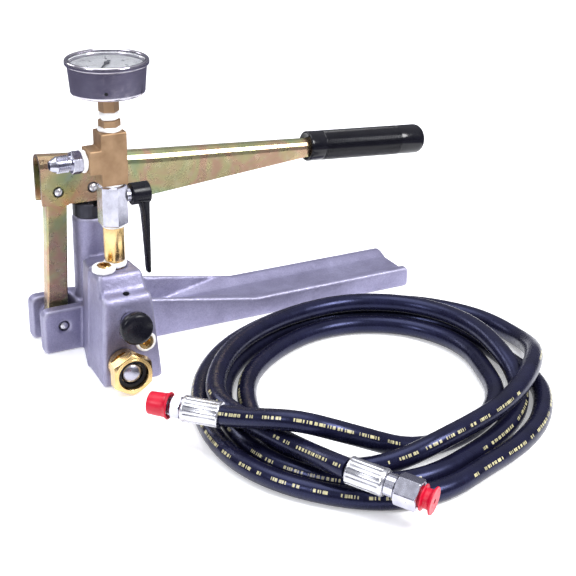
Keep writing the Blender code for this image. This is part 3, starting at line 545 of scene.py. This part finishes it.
def threads(radius, low, high, pitch):
    """The zigzag of a thread's crests and roots, from high down to low."""
    depth = 0.6 * pitch
    count = max(1, int((high - low) / pitch))
    step = (high - low) / count
    points = []
    for i in range(count):
        top = high - i * step
        points += [(radius - depth, top), (radius, top - 0.38 * step),
                   (radius, top - 0.62 * step)]
    return points + [(radius - depth, low)]


def loft(name, sections, paint, angle=32):
    """A closed skin through sections, each a list of as many points in metres."""
    bm = bmesh.new()
    rings = [[bm.verts.new(point) for point in section] for section in sections]
    stack_rings(bm, rings, closed=False)
    bm.faces.new(rings[0])
    bm.faces.new(rings[-1])
    return new_piece(name, bm, paint, angle)


def ruffle(obj, amount, size):
    """Uneven hand-applied surface: vertices move along their normals by smooth noise."""
    for vertex in obj.data.vertices:
        wave = noise.noise(vertex.co / (size * MM))
        vertex.co += vertex.normal * wave * amount * MM
    return obj


# ---- hose ----------------------------------------------------------------------------------------
HOSE_OD = 14.0
COIL_CENTRE = Vector((143.0, -193.0, 0.0))
HOSE_END_A = Vector((15.7, -206.4, 29.0))      # where the tube leaves each ferrule
HOSE_END_B = Vector((58.8, -298.1, 27.0))
ALONG_A = Vector(JOINTS["cap_a_pull"]["axis"])
ALONG_B = Vector(JOINTS["plug_b_pull"]["axis"])
HOSE_POINTS = 420
HOSE_SIDES = 24
HOSE_EASING = 4
HOSE_STRAIGHT = 8            # mm that it runs straight behind each ferrule
FLOOR_CLEAR = 0.2
HOSE_ROUTE = (   # bearing round the coil in degrees, distance from its centre, height
    (195, 119.5, 32.5), (204, 114.5, 37.3), (212, 109.5, 39), (222, 102, 34),
    (235, 89, 23), (248, 79, 12), (262, 76.5, 7.3), (285, 77, 7.3), (315, 81, 7.3), (340, 87, 7.3),
    (360, 92, 7.3), (375, 103, 7.3), (392, 112.5, 7.3), (410, 117.5, 7.3), (430, 115.5, 7.3),
    (450, 107.5, 7.3), (475, 97.5, 7.3), (500, 94, 7.3), (525, 93, 7.3), (550, 98, 7.3),
    (570, 102.5, 7.3), (587, 104, 7.3), (600, 100.5, 9.8), (612, 97.5, 15.8), (625, 93, 21.3),
    (645, 88, 22.3), (665, 91, 22.5), (683, 99, 23.5), (698, 110, 23.5), (710, 123, 21.5),
    (722, 138, 14), (734, 151, 7.3), (750, 160, 7.3), (770, 160, 7.3), (790, 150, 7.3),
    (810, 142, 7.3), (835, 132, 7.3), (860, 126.5, 7.3), (885, 126, 7.3), (910, 131, 7.3),
    (930, 134.5, 7.3), (950, 135.5, 7.3), (965, 134.5, 7.3), (980, 127, 7.3), (995, 115, 7.3),
    (1015, 112.5, 7.3), (1035, 115.5, 7.3), (1055, 119.5, 7.3), (1068, 119.5, 7.3),
    (1080, 116.5, 7.3), (1095, 121.5, 7.3), (1112, 131, 7.3), (1130, 135, 7.3), (1150, 133, 7.3),
    (1170, 125, 7.3), (1195, 114.5, 7.3), (1220, 111, 7.3), (1245, 110, 7.3), (1270, 115, 7.3),
    (1290, 119, 7.3), (1310, 119.5, 7.3), (1325, 116.5, 7.3), (1340, 108.5, 7.3), (1355, 99.5, 7.3),
    (1375, 96, 7.3), (1395, 98, 7.3), (1412, 102, 8), (1427, 105, 14), (1440, 105.5, 20),
    (1455, 113, 21.8), (1472, 122.5, 21.8), (1490, 127.5, 21.8), (1510, 125.5, 21.8),
    (1530, 118, 21.8), (1550, 113, 22), (1570, 111.5, 22.3), (1590, 113, 22.3), (1610, 117, 21.8),
    (1630, 111, 22), (1645, 111, 21.8), (1655, 115, 22), (1664, 124.5, 25),
)


def smooth_path(points, count, lowest):
    """Evenly spaced points along a smooth curve through the given ones, kept off the floor."""
    fine = []
    ends = [2 * points[0] - points[1], *points, 2 * points[-1] - points[-2]]
    for a, b, c, d in zip(ends, ends[1:], ends[2:], ends[3:]):
        for step in range(12):
            t = step / 12
            fine.append((2 * b + (c - a) * t + (2 * a - 5 * b + 4 * c - d) * t ** 2
                         + (3 * b - a - 3 * c + d) * t ** 3) / 2)
    fine.append(points[-1])
    travelled = [0.0]
    for a, b in zip(fine, fine[1:]):
        travelled.append(travelled[-1] + (b - a).length)
    path = []
    at = 0
    for i in range(count):
        target = travelled[-1] * i / (count - 1)
        while at < len(fine) - 2 and travelled[at + 1] < target:
            at += 1
        share = (target - travelled[at]) / (travelled[at + 1] - travelled[at])
        point = fine[at].lerp(fine[at + 1], min(share, 1.0))
        point.z = max(point.z, lowest)
        path.append(point)
    return path


def eased(path, rounds):
    """The path with each inner point drawn a little towards its neighbours' middle."""
    for _ in range(rounds):
        middles = [(a + 2 * b + c) / 4 for a, b, c in zip(path, path[1:], path[2:])]
        path = [path[0], *middles, path[-1]]
    return path


def hose_piece():
    """The hose as one round skin along its route, with the distance run stored for its print."""
    route = [COIL_CENTRE + Vector((distance * math.cos(math.radians(bearing)),
                                   distance * math.sin(math.radians(bearing)), height))
             for bearing, distance, height in HOSE_ROUTE]
    route = [HOSE_END_A, HOSE_END_A - HOSE_STRAIGHT * ALONG_A, *route,
             HOSE_END_B - HOSE_STRAIGHT * ALONG_B, HOSE_END_B]
    path = eased(smooth_path(route, HOSE_POINTS, HOSE_OD / 2 + FLOOR_CLEAR), HOSE_EASING)
    path = [point * MM for point in path]
    sides = HOSE_SIDES
    bm = bmesh.new()
    layer = bm.loops.layers.uv.new("along")
    rings = []
    reach = [0.0]
    for i, point in enumerate(path):
        ahead = (path[min(i + 1, len(path) - 1)] - path[max(i - 1, 0)]).normalized()
        outward = ahead.cross(UP).normalized()
        lifted = outward.cross(ahead)
        if i:
            reach.append(reach[-1] + (point - path[i - 1]).length)
        ring = []
        for k in range(sides):
            bearing = 2 * math.pi * k / sides
            offset = outward * math.cos(bearing) + lifted * math.sin(bearing)
            ring.append(bm.verts.new(point + offset * HOSE_OD / 2 * MM))
        rings.append(ring)
    for i in range(len(rings) - 1):
        for k in range(sides):
            j = (k + 1) % sides
            face = bm.faces.new((rings[i][k], rings[i][j], rings[i + 1][j], rings[i + 1][k]))
            spots = ((reach[i], k), (reach[i], k + 1), (reach[i + 1], k + 1), (reach[i + 1], k))
            for loop, (along, side) in zip(face.loops, spots):
                loop[layer].uv = (along, side / sides)
    bm.faces.new(rings[0])
    bm.faces.new(rings[-1])
    hose = new_piece("hose", bm, HOSE, 60)
    add(hose, "pump_block", "hose_tube", slot="hose")
    return hose, path


def crimp(name, length, at, along, node):
    """A ferrule squeezed by eight jaws: long flats with raised seams between them."""
    def rim(bearing, radius, height):
        if radius < 7:
            return radius, height
        squeezed = 1.5 < height < length - 3.0
        seam = math.exp(-(((bearing * 8 / math.pi + 1) % 2 - 1) / 0.2) ** 2)
        flat = 0.28 * math.cos(bearing * 8)
        return radius + (0.75 * seam - flat - 0.3 if squeezed else 0.2), height

    profile = [(3.2, 0.2), (8.0, 0.2), (8.7, 0.7), (8.9, 1.4), (8.85, 2.2), (8.85, length - 3.6),
               (8.9, length - 2.8), (8.9, length - 1.4), (8.3, length - 0.4), (7.2, length),
               (3.2, length)]
    sleeve = lathe(name, profile, at, along, CRIMP, 128, 40, rim)
    return add(sleeve, "pump_block", node, slot="zinc")


def hose_end_a():
    """Ferrule, male fitting and pull-off cap."""
    at = HOSE_END_A * MM
    sleeve = crimp("crimp_sleeve_a", 27.5, at, ALONG_A, "ferrule_a")
    flats = hexagon("male_end_hexagon", 14.6, 27.8, 34.6, 1.7, at, ALONG_A, ZINC)
    add(flats, "pump_block", slot="zinc")
    nose = [(1.7, 47.4), (5.2, 47.4), (5.9, 46.6), *threads(6.0, 36.2, 46.6, 1.3), (5.6, 34.4),
            (1.7, 34.4)]
    thread = lathe("male_end_thread", nose, at, ALONG_A, ZINC, 64)
    add(thread, "pump_block", "fitting_a", slot="zinc")
    skirt = [(0, 51.4), (5.8, 51.4), *arc((6.8, 50.4), 1.0, 80, 10, 4), (8.0, 46.0), (8.2, 40.5),
             (8.7, 38.0), *arc((8.9, 37.2), 0.5, 60, -60, 4), (8.3, 36.5), (6.4, 38.2),
             (6.4, 48.4), (0, 48.4)]
    cap = lathe("red_cap", skirt, at, ALONG_A, RED, 72, 40)
    add(cap, "plug_a", "cap_a", slot="red_plastic")
    return [sleeve, flats, thread, cap]


def hose_end_b():
    """Ferrule, swivel nut with its collar, and push-in stopper."""
    at = HOSE_END_B * MM
    sleeve = crimp("crimp_sleeve_b", 26.0, at, ALONG_B, "ferrule_b")
    nut = hexagon("swivel_nut", 18.5, 33.2, 48.5, 7.0, at, ALONG_B, ZINC, spin=0.3)
    add(nut, "hose_nut", "swivel_nut_b", slot="zinc")
    collar = lathe("swivel_nut_back", [(5.4, 32.9), (8.2, 32.9), (9.0, 33.6), (9.0, 35.2),
                                       (5.4, 35.2)], at, ALONG_B, ZINC, 64)
    add(collar, "hose_nut", slot="zinc")
    plug = [(0, 53.6), (1.6, 53.6), (1.6, 57.4), (8.2, 57.4), *arc((8.6, 56.8), 0.6, 80, -60, 5),
            (7.0, 55.2), (6.5, 54.2), (6.5, 51.6), (7.4, 51.0),
            *arc((8.1, 50.3), 0.5, 70, -60, 4), (6.8, 49.2), (6.4, 42.6), (0, 42.6)]
    stopper = lathe("red_stopper", plug, at, ALONG_B, RED, 72, 40)
    add(stopper, "plug_b", "cap_b", slot="red_plastic")
    return [sleeve, nut, collar, stopper, NODES["fitting_b"]]


make_camera()
make_studio()
hose, hose_path = hose_piece()
hose_pieces = hose_end_a() + hose_end_b()


# ---- base casting ------------------------------------------------------------------------------
CAST_VOXEL = 1.1
CAST_SMOOTHING = 7


def casting():
    """The CAD casting with every edge melted to a cast radius."""
    rough = bpy.data.objects.new("casting_rough", NODES["base_casting"].data.copy())
    bpy.context.scene.collection.objects.link(rough)
    skin = rough.modifiers.new("skin", "REMESH")
    skin.mode = "VOXEL"
    skin.voxel_size = CAST_VOXEL * MM
    melt = rough.modifiers.new("melt", "SMOOTH")
    melt.factor = 0.5
    melt.iterations = CAST_SMOOTHING
    depsgraph = bpy.context.evaluated_depsgraph_get()
    mesh = bpy.data.meshes.new_from_object(rough.evaluated_get(depsgraph))
    bpy.data.objects.remove(rough, do_unlink=True)
    piece = bpy.data.objects.new("casting", mesh)
    bpy.context.scene.collection.objects.link(piece)
    for vertex in mesh.vertices:
        vertex.co.z = max(vertex.co.z, 0.0)
    shade(piece, CAST, 60)
    add(piece, "pump_block", "base_casting", slot="cast")


def bleed_hole():
    """Painted shade: a near-black disc laid just above the front ledge over the drilled bleed hole,
    standing in for the shadow inside the hole.
    """
    ledge = Vector((-0.8, -79.3, 68.4)) * MM
    mouth = lathe("bleed_hole_painted_shade", [(0, 0.12), (2.2, 0.1), (2.35, -0.6), (0, -0.6)], ledge, UP,
                  HOLE_SHADE, 32)
    for vertex in mouth.data.vertices:
        vertex.co.y = ledge.y + (vertex.co.y - ledge.y) * 0.8
    add(mouth, "pump_block", slot="rubber")


def sealant(name, outer, inner, low, high, at, direction=UP, lumps=0.5):
    """A collar of sealing tape or paste squeezed out where a thread goes in."""
    half = (high - low) / 2
    bulge = [(outer - half + half * math.cos(t), (low + high) / 2 + half * math.sin(t))
             for t in (math.radians(a) for a in range(90, -91, -15))]
    collar = lathe(name, [(inner, high), *bulge, (inner, low)], at, direction, PTFE, 64, 60)
    ruffle(collar, lumps, 3.5)
    return add(collar, "pump_block", slot="ptfe")


# ---- stack of fittings -------------------------------------------------------------------------
STACK = centre("nipple")
STACK.z = 0
BALL_AT = centre("valve_ball")
BRANCH_AT = Vector((STACK.x, STACK.y, centre("outlet_fitting").z))


def nipple_piece():
    """The brass pipe between block and valve: plain in the middle, threaded at both ends."""
    profile = [(4.4, 120.9), (5.5, 120.9), *threads(6.5, 113.8, 120.4, 1.4), (6.9, 113.2),
               (7.5, 112.6), (7.6, 111.8), (7.6, 87.0), (7.3, 86.4), (6.4, 85.6),
               *threads(6.5, 68.5, 85.0, 1.4), (5.6, 67.6), (4.4, 67.6)]
    piece = lathe("brass_nipple", profile, STACK, UP, BRASS, 72)
    add(piece, "pump_block", "nipple", slot="brass")


def outlet_piece():
    """The flare fitting in the tee's branch: hexagon, thread and nose."""
    out = Vector((-1, 0, 0))
    flats = hexagon("outlet_hexagon", 15.0, 22.3, 29.5, 2.2, BRANCH_AT, out, ZINC)
    add(flats, "pump_block", slot="zinc")
    body = [(2.2, 44.8), (3.1, 44.8), (5.2, 41.4), (5.2, 40.6), *threads(6.1, 31.4, 40.4, 1.3),
            (5.2, 30.8), (5.2, 29.3), (5.9, 22.4), (5.9, 11.2), (2.2, 11.2)]
    thread = lathe("outlet_thread", body, BRANCH_AT, out, ZINC, 64)
    add(thread, "pump_block", "outlet_fitting", slot="zinc")


def seals():
    """White tape or paste at every threaded joint of the stack, the outlet and the plugs."""
    sealant("tape_nipple_foot", 8.7, 6.6, 81.3, 85.4, STACK)
    sealant("tape_valve_foot", 8.4, 7.4, 112.2, 113.6, STACK, lumps=0.2)
    sealant("tape_valve_head", 8.6, 6.6, 143.6, 145.0, STACK, lumps=0.2)
    sealant("tape_tee_head", 8.6, 6.4, 183.1, 186.8, STACK, lumps=0.5)
    sealant("tape_gauge", 7.2, 5.0, 190.8, 197.8, STACK, lumps=0.7)
    sealant("tape_outlet", 8.0, 5.9, 18.3, 22.4, BRANCH_AT, Vector((-1, 0, 0)), lumps=0.4)
    top_plug = centre("top_plug")
    top_plug.z = 0
    sealant("tape_top_plug", 8.9, 5.2, 80.9, 85.6, top_plug, lumps=0.9)
    low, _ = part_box("front_plug")
    front_plug = centre("front_plug")
    front_plug.y = low.y
    sealant("tape_front_plug", 7.8, 5.6, -2.6, -0.3, front_plug, Vector((0, -1, 0)), lumps=0.5)


# ---- shut-off lever ----------------------------------------------------------------------------
ARM_SIDES = 32
ARM_SQUARENESS = 0.5         # 1 is an oval section, 0 a rectangle


def squared(value):
    """A sine or cosine pushed out towards 1, for a section between an oval and a rectangle."""
    return math.copysign(abs(value) ** ARM_SQUARENESS, value)


def lever_piece():
    """Moulded lever: a round hub on the stem with an arm that hangs and tapers."""
    outward = Vector((1, 0, 0))
    hub_profile = [(0, 25.7), (4.3, 25.7), (4.3, 26.9), (4.7, 27.4), (6.8, 27.4),
                   *arc((7.0, 26.4), 1.0, 80, 0, 4), (8.0, 14.6),
                   *arc((7.5, 14.1), 0.5, 0, -80, 3), (2.7, 13.6), (2.7, 20.0), (0, 20.0)]
    hub = lathe("lever_hub", hub_profile, BALL_AT, outward, BLACK, 72)
    add(hub, "shut_off", "valve_lever", slot="black_plastic")
    # height below the stem, distance out, half depth, half width
    stations = ((0.0, 22.9, 4.3, 6.2), (-8.0, 23.6, 3.5, 5.2), (-14.0, 24.3, 2.8, 4.6),
                (-30.0, 24.9, 2.2, 4.2), (-45.0, 25.3, 1.8, 3.8), (-58.0, 25.6, 1.5, 3.4),
                (-61.6, 25.7, 1.4, 3.2), (-62.4, 25.7, 1.0, 2.7))
    sections = []
    for z, x, half_depth, half_width in stations:
        ring = []
        for i in range(ARM_SIDES):
            t = 2 * math.pi * i / ARM_SIDES
            offset = Vector((x + half_depth * squared(math.cos(t)),
                             half_width * squared(math.sin(t)), z))
            ring.append(BALL_AT + offset * MM)
        sections.append(ring)
    arm = loft("lever_arm", sections, BLACK, 50)
    add(arm, "shut_off", slot="black_plastic")


# ---- pressure gauge ----------------------------------------------------------------------------
DIAL_TOP = 229.05
DIAL_START = 235.0           # bearing of the zero mark, degrees
DIAL_SWEEP = 270.0
DIAL_STEPS = 50
DIAL_TOP_NUMBER = 5
MARK_OUTER = 21.4
MARK_INNER = {"major": 17.4, "middle": 18.6, "minor": 19.4}
NUMBER_RADIUS = 14.0
NUMBER_SIZE = 5.2
NEEDLE_BASE = 229.4


def dial_ray(share):
    """The flat direction in which a share of the dial's sweep lies, and the one across it."""
    bearing = math.radians(DIAL_START - DIAL_SWEEP * share)
    ray = Vector((math.cos(bearing), math.sin(bearing), 0))
    return ray, Vector((-ray.y, ray.x, 0))


def dial_graduations():
    """Graduations as thin raised marks, longer and heavier at each number."""
    bm = bmesh.new()
    for i in range(DIAL_STEPS + 1):
        ray, side = dial_ray(i / DIAL_STEPS)
        kind = "major" if i % 10 == 0 else "middle" if i % 5 == 0 else "minor"
        half = 0.36 if kind == "major" else 0.16
        inner = MARK_INNER[kind]
        corners = [ray * MARK_OUTER + side * half, ray * MARK_OUTER - side * half,
                   ray * inner - side * half, ray * inner + side * half]
        verts = [bm.verts.new(STACK + (c + UP * DIAL_TOP) * MM) for c in corners]
        bmesh.ops.extrude_face_region(bm, geom=[bm.faces.new(verts)])
    marks = new_piece("dial_graduations", bm, INK, 30)
    thick = marks.modifiers.new("print", "SOLIDIFY")
    thick.thickness = 0.08 * MM
    add(marks, "pump_block", slot="black_plastic")


def dial_numbers():
    """Generic numbers, from 0 up, as thin raised text turned into meshes."""
    for value in range(DIAL_TOP_NUMBER + 1):
        ray, _ = dial_ray(value / DIAL_TOP_NUMBER)
        curve = bpy.data.curves.new("dial_number_%d" % value, "FONT")
        curve.body = str(value)
        curve.size = NUMBER_SIZE * MM
        curve.align_x = "CENTER"
        curve.align_y = "CENTER"
        curve.extrude = 0.03 * MM
        text = bpy.data.objects.new("number", curve)
        bpy.context.scene.collection.objects.link(text)
        depsgraph = bpy.context.evaluated_depsgraph_get()
        mesh = bpy.data.meshes.new_from_object(text.evaluated_get(depsgraph))
        bpy.data.objects.remove(text, do_unlink=True)
        spot = STACK + (ray * NUMBER_RADIUS + UP * DIAL_TOP) * MM
        mesh.transform(Matrix.Translation(spot))
        number = bpy.data.objects.new("dial_number_%d" % value, mesh)
        bpy.context.scene.collection.objects.link(number)
        shade(number, INK)
        add(number, "pump_block", slot="black_plastic")


def needle_piece():
    """A slim pointer resting on the zero mark, with its round hub."""
    hub = STACK + UP * NEEDLE_BASE * MM
    ray, side = dial_ray(0)
    sections = []
    for reach, half in ((-6.5, 1.1), (-5.8, 1.3), (-2.0, 0.8), (6.0, 0.65), (17.8, 0.3),
                        (19.0, 0.1)):
        low = hub + (ray * reach + UP * 0.4) * MM
        sections.append([low - side * half * MM, low + side * half * MM,
                         low + (side * half + UP * 0.4) * MM, low + (UP * 0.4 - side * half) * MM])
    blade = loft("needle_blade", sections, INK)
    add(blade, "pointer", "gauge_pointer", slot="black_plastic")
    boss = lathe("needle_hub", [(0, 1.4), (1.5, 1.3), (2.0, 0.9), (2.0, 0.0), (0, 0.0)], hub, UP,
                 INK, 32)
    add(boss, "pointer", slot="black_plastic")


def gauge_pieces():
    """A deep stainless case with a rolled bezel, glass, white dial and rubber vent plug."""
    case = [(5.7, 211.0), (22.6, 211.0), (24.6, 212.8), (26.4, 230.1), (27.2, 230.1),
            (27.3, 229.4), (25.9, 213.2), *arc((23.3, 212.5), 2.6, 0, -90, 7), (20.0, 209.9),
            (5.7, 209.9)]
    shell = lathe("gauge_shell", case, STACK, UP, CHROME, 120, 40)
    add(shell, "pump_block", "gauge_case", slot="stainless")
    bezel = [(26.0, 232.8), (26.1, 233.5), *arc((27.5, 232.7), 1.5, 125, 0, 8), (29.0, 231.4),
             *arc((28.4, 231.2), 0.6, 0, -90, 4), (27.7, 230.5), (27.7, 232.1), (26.6, 232.7)]
    rolled = lathe("gauge_bezel_ring", bezel, STACK, UP, CHROME, 120, 40)
    add(rolled, "pump_block", "gauge_bezel", slot="stainless")
    lens = [(0, 232.6), (26.5, 232.5), (27.1, 232.0), (27.1, 231.3), (0, 231.3)]
    add(lathe("gauge_window", lens, STACK, UP, GLASS, 96), "pump_block", "gauge_lens",
        slot="glass")
    face = [(1.7, 229.0), (25.0, 229.0), (25.6, 228.8), (25.6, 228.2), (1.7, 228.2)]
    add(lathe("gauge_face", face, STACK, UP, WHITE, 96), "pump_block", "gauge_dial",
        slot="white")
    toward = Vector((-0.38, -0.925, 0)).normalized()
    dot = STACK + (toward * 26.2 + UP * 216.0) * MM
    plug = lathe("gauge_vent_plug", [(0, 0.5), (0.9, 0.4), (1.3, 0.0), (1.3, -1.0), (0, -1.0)],
                 dot, toward, RUBBER, 24)
    add(plug, "pump_block", slot="rubber")
    dial_graduations()
    dial_numbers()
    needle_piece()


# ---- front of the block ------------------------------------------------------------------------
FRONT = Vector((0, -1, 0))


def inlet_pieces():
    """The suction inlet's swivel nut, its lip and back, and the strainer seen inside it."""
    nut_low, nut_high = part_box("inlet_swivel_nut")
    axis_x = (nut_low.x + nut_high.x) / 2
    axis_z = (nut_low.z + nut_high.z) / 2
    inlet = Vector((axis_x, nut_high.y + 12.3 * MM, axis_z))
    flats = (nut_high.x - nut_low.x) / MM
    body = hexagon("inlet_nut_body", flats, 12.4, 21.6, 11.25, inlet, FRONT, BRASS,
                   both_faces=False)
    add(body, "inlet_nut", "inlet_swivel_nut", slot="brass")
    lip = [(11.25, 21.3), (11.5, 21.7), (12.4, 21.7), (12.8, 21.4), (12.8, 20.8), (11.25, 20.8)]
    add(lathe("inlet_nut_lip", lip, inlet, FRONT, BRASS, 72), "inlet_nut", slot="brass")
    back = [(8.9, 12.3), (12.6, 12.3), (12.6, 13.7), (8.9, 13.7)]
    add(lathe("inlet_nut_back", back, inlet, FRONT, BRASS, 72), "inlet_nut", slot="brass")
    dome = [(0, 20.1), *[(7.8 * math.sin(math.radians(a)), 16.0 + 4.1 * math.cos(math.radians(a)))
                         for a in range(8, 89, 8)], (7.2, 15.9), (0, 18.5)]
    add(lathe("inlet_strainer", dome, inlet, FRONT, STRAINER, 64), "pump_block", "inlet_screen",
        slot="stainless")


def release_pieces():
    """The release valve's zinc bushing and the round black button on its needle."""
    collar_low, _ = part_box("release_collar")
    knob_axis = centre("release_knob")
    seat = Vector((knob_axis.x, collar_low.y + 6.6 * MM, knob_axis.z))
    ring = [(2.6, 6.6), (4.8, 6.6), (5.3, 6.2), (6.1, 4.9), (6.1, 1.0), (5.8, 0.5), (4.7, 0.4),
            (4.7, -12.4), (2.6, -12.4)]
    add(lathe("release_bushing", ring, seat, FRONT, ZINC, 64), "pump_block", "release_collar",
        slot="zinc")
    cap = [(0, 20.8), (4.5, 20.7), (8.6, 20.2), (10.4, 19.6), (11.4, 18.8), (12.0, 17.6),
           (12.2, 15.8), (12.1, 13.6), (11.6, 12.3), (10.5, 11.2), (8.0, 10.2), (2.5, 9.7),
           (2.5, 17.2), (0, 17.2)]
    add(lathe("release_button", cap, seat, FRONT, BLACK, 96, 50), "release_valve", "release_knob",
        slot="black_plastic")


# ---- handle grip -------------------------------------------------------------------------------
GRIP_MOUTH = Vector((187.0, 2.0, 128.9))
GRIP_TIP = Vector((297.0, 2.0, 121.3))
GRIP_RADIUS = 12.1
GRIP_ROUND = 7
BAND_LOW = 14.0              # the ribbed band, measured from the mouth
BAND_HIGH = 86.0
RIB_PITCH = 1.5


def grip_piece():
    """Dipped vinyl grip: a soft rolled mouth, a band of fine rings and a round end."""
    length = (GRIP_TIP - GRIP_MOUTH).length
    ribs = []
    for i in range(int((BAND_HIGH - BAND_LOW) / RIB_PITCH)):
        top = BAND_HIGH - i * RIB_PITCH
        ribs += [(11.55, top), (12.05, top - 0.45 * RIB_PITCH), (12.05, top - 0.7 * RIB_PITCH)]
    end = [((GRIP_RADIUS - GRIP_ROUND) + GRIP_ROUND * math.sin(t),
            length - GRIP_ROUND + GRIP_ROUND * math.cos(t))
           for t in (math.radians(a) for a in range(0, 91, 10))]
    profile = [(0, length), *end, (GRIP_RADIUS, BAND_HIGH + 6), (11.9, BAND_HIGH + 1.5), *ribs,
               (11.6, BAND_LOW), (12.0, BAND_LOW - 1.5), (GRIP_RADIUS, 2.2),
               *arc((10.9, 1.4), 1.2, 0, -120, 6), (9.0, 1.6), (0, 1.6)]
    grip = lathe("ribbed_grip", profile, GRIP_MOUTH * MM, GRIP_TIP - GRIP_MOUTH, VINYL, 72, 45)
    add(grip, "handle", "handle_grip", slot="vinyl")


# ---- CAD nodes that keep their shape -----------------------------------------------------------
def dress_nodes():
    dress(YELLOW, "handle_channel", "link_bar", bevel=0.5, angle=28)
    dress(PIN_ZINC, "link_base_pin", "handle_link_pin", "plunger_pin", angle=50)
    dress(ZINC, "fitting_b", angle=50)
    dress(ZINC, "valve_body", bevel=0.35)
    dress(ZINC, "valve_gland", "valve_stem", "lever_screw")
    dress(STEEL, "plunger", bevel=0.3)
    dress(OXIDE, "gland_nut", bevel=0.3)
    dress(STEEL, "release_needle", "gauge_staff")
    dress(BRASS, "inlet_adapter", "front_plug", "top_plug", bevel=0.15)
    dress(BRASS, "suction_seat", "discharge_seat", "valve_retainer", "gauge_tube",
          "gauge_movement")
    dress(TEE_BRASS, "tee", bevel=0.5)
    dress(TEE_BRASS, "gauge_bushing", "gauge_socket", bevel=0.5)
    dress(CHROME, "suction_ball", "discharge_ball", "valve_ball", "suction_spring",
          "discharge_spring", angle=60)
    dress(RUBBER, "plunger_seal", "inlet_washer", "release_seal", bevel=0.2)
    dress(PTFE, "valve_seat_lower", "valve_seat_upper")


casting()
bleed_hole()
nipple_piece()
outlet_piece()
seals()
lever_piece()
gauge_pieces()
inlet_pieces()
release_pieces()
grip_piece()
dress_nodes()
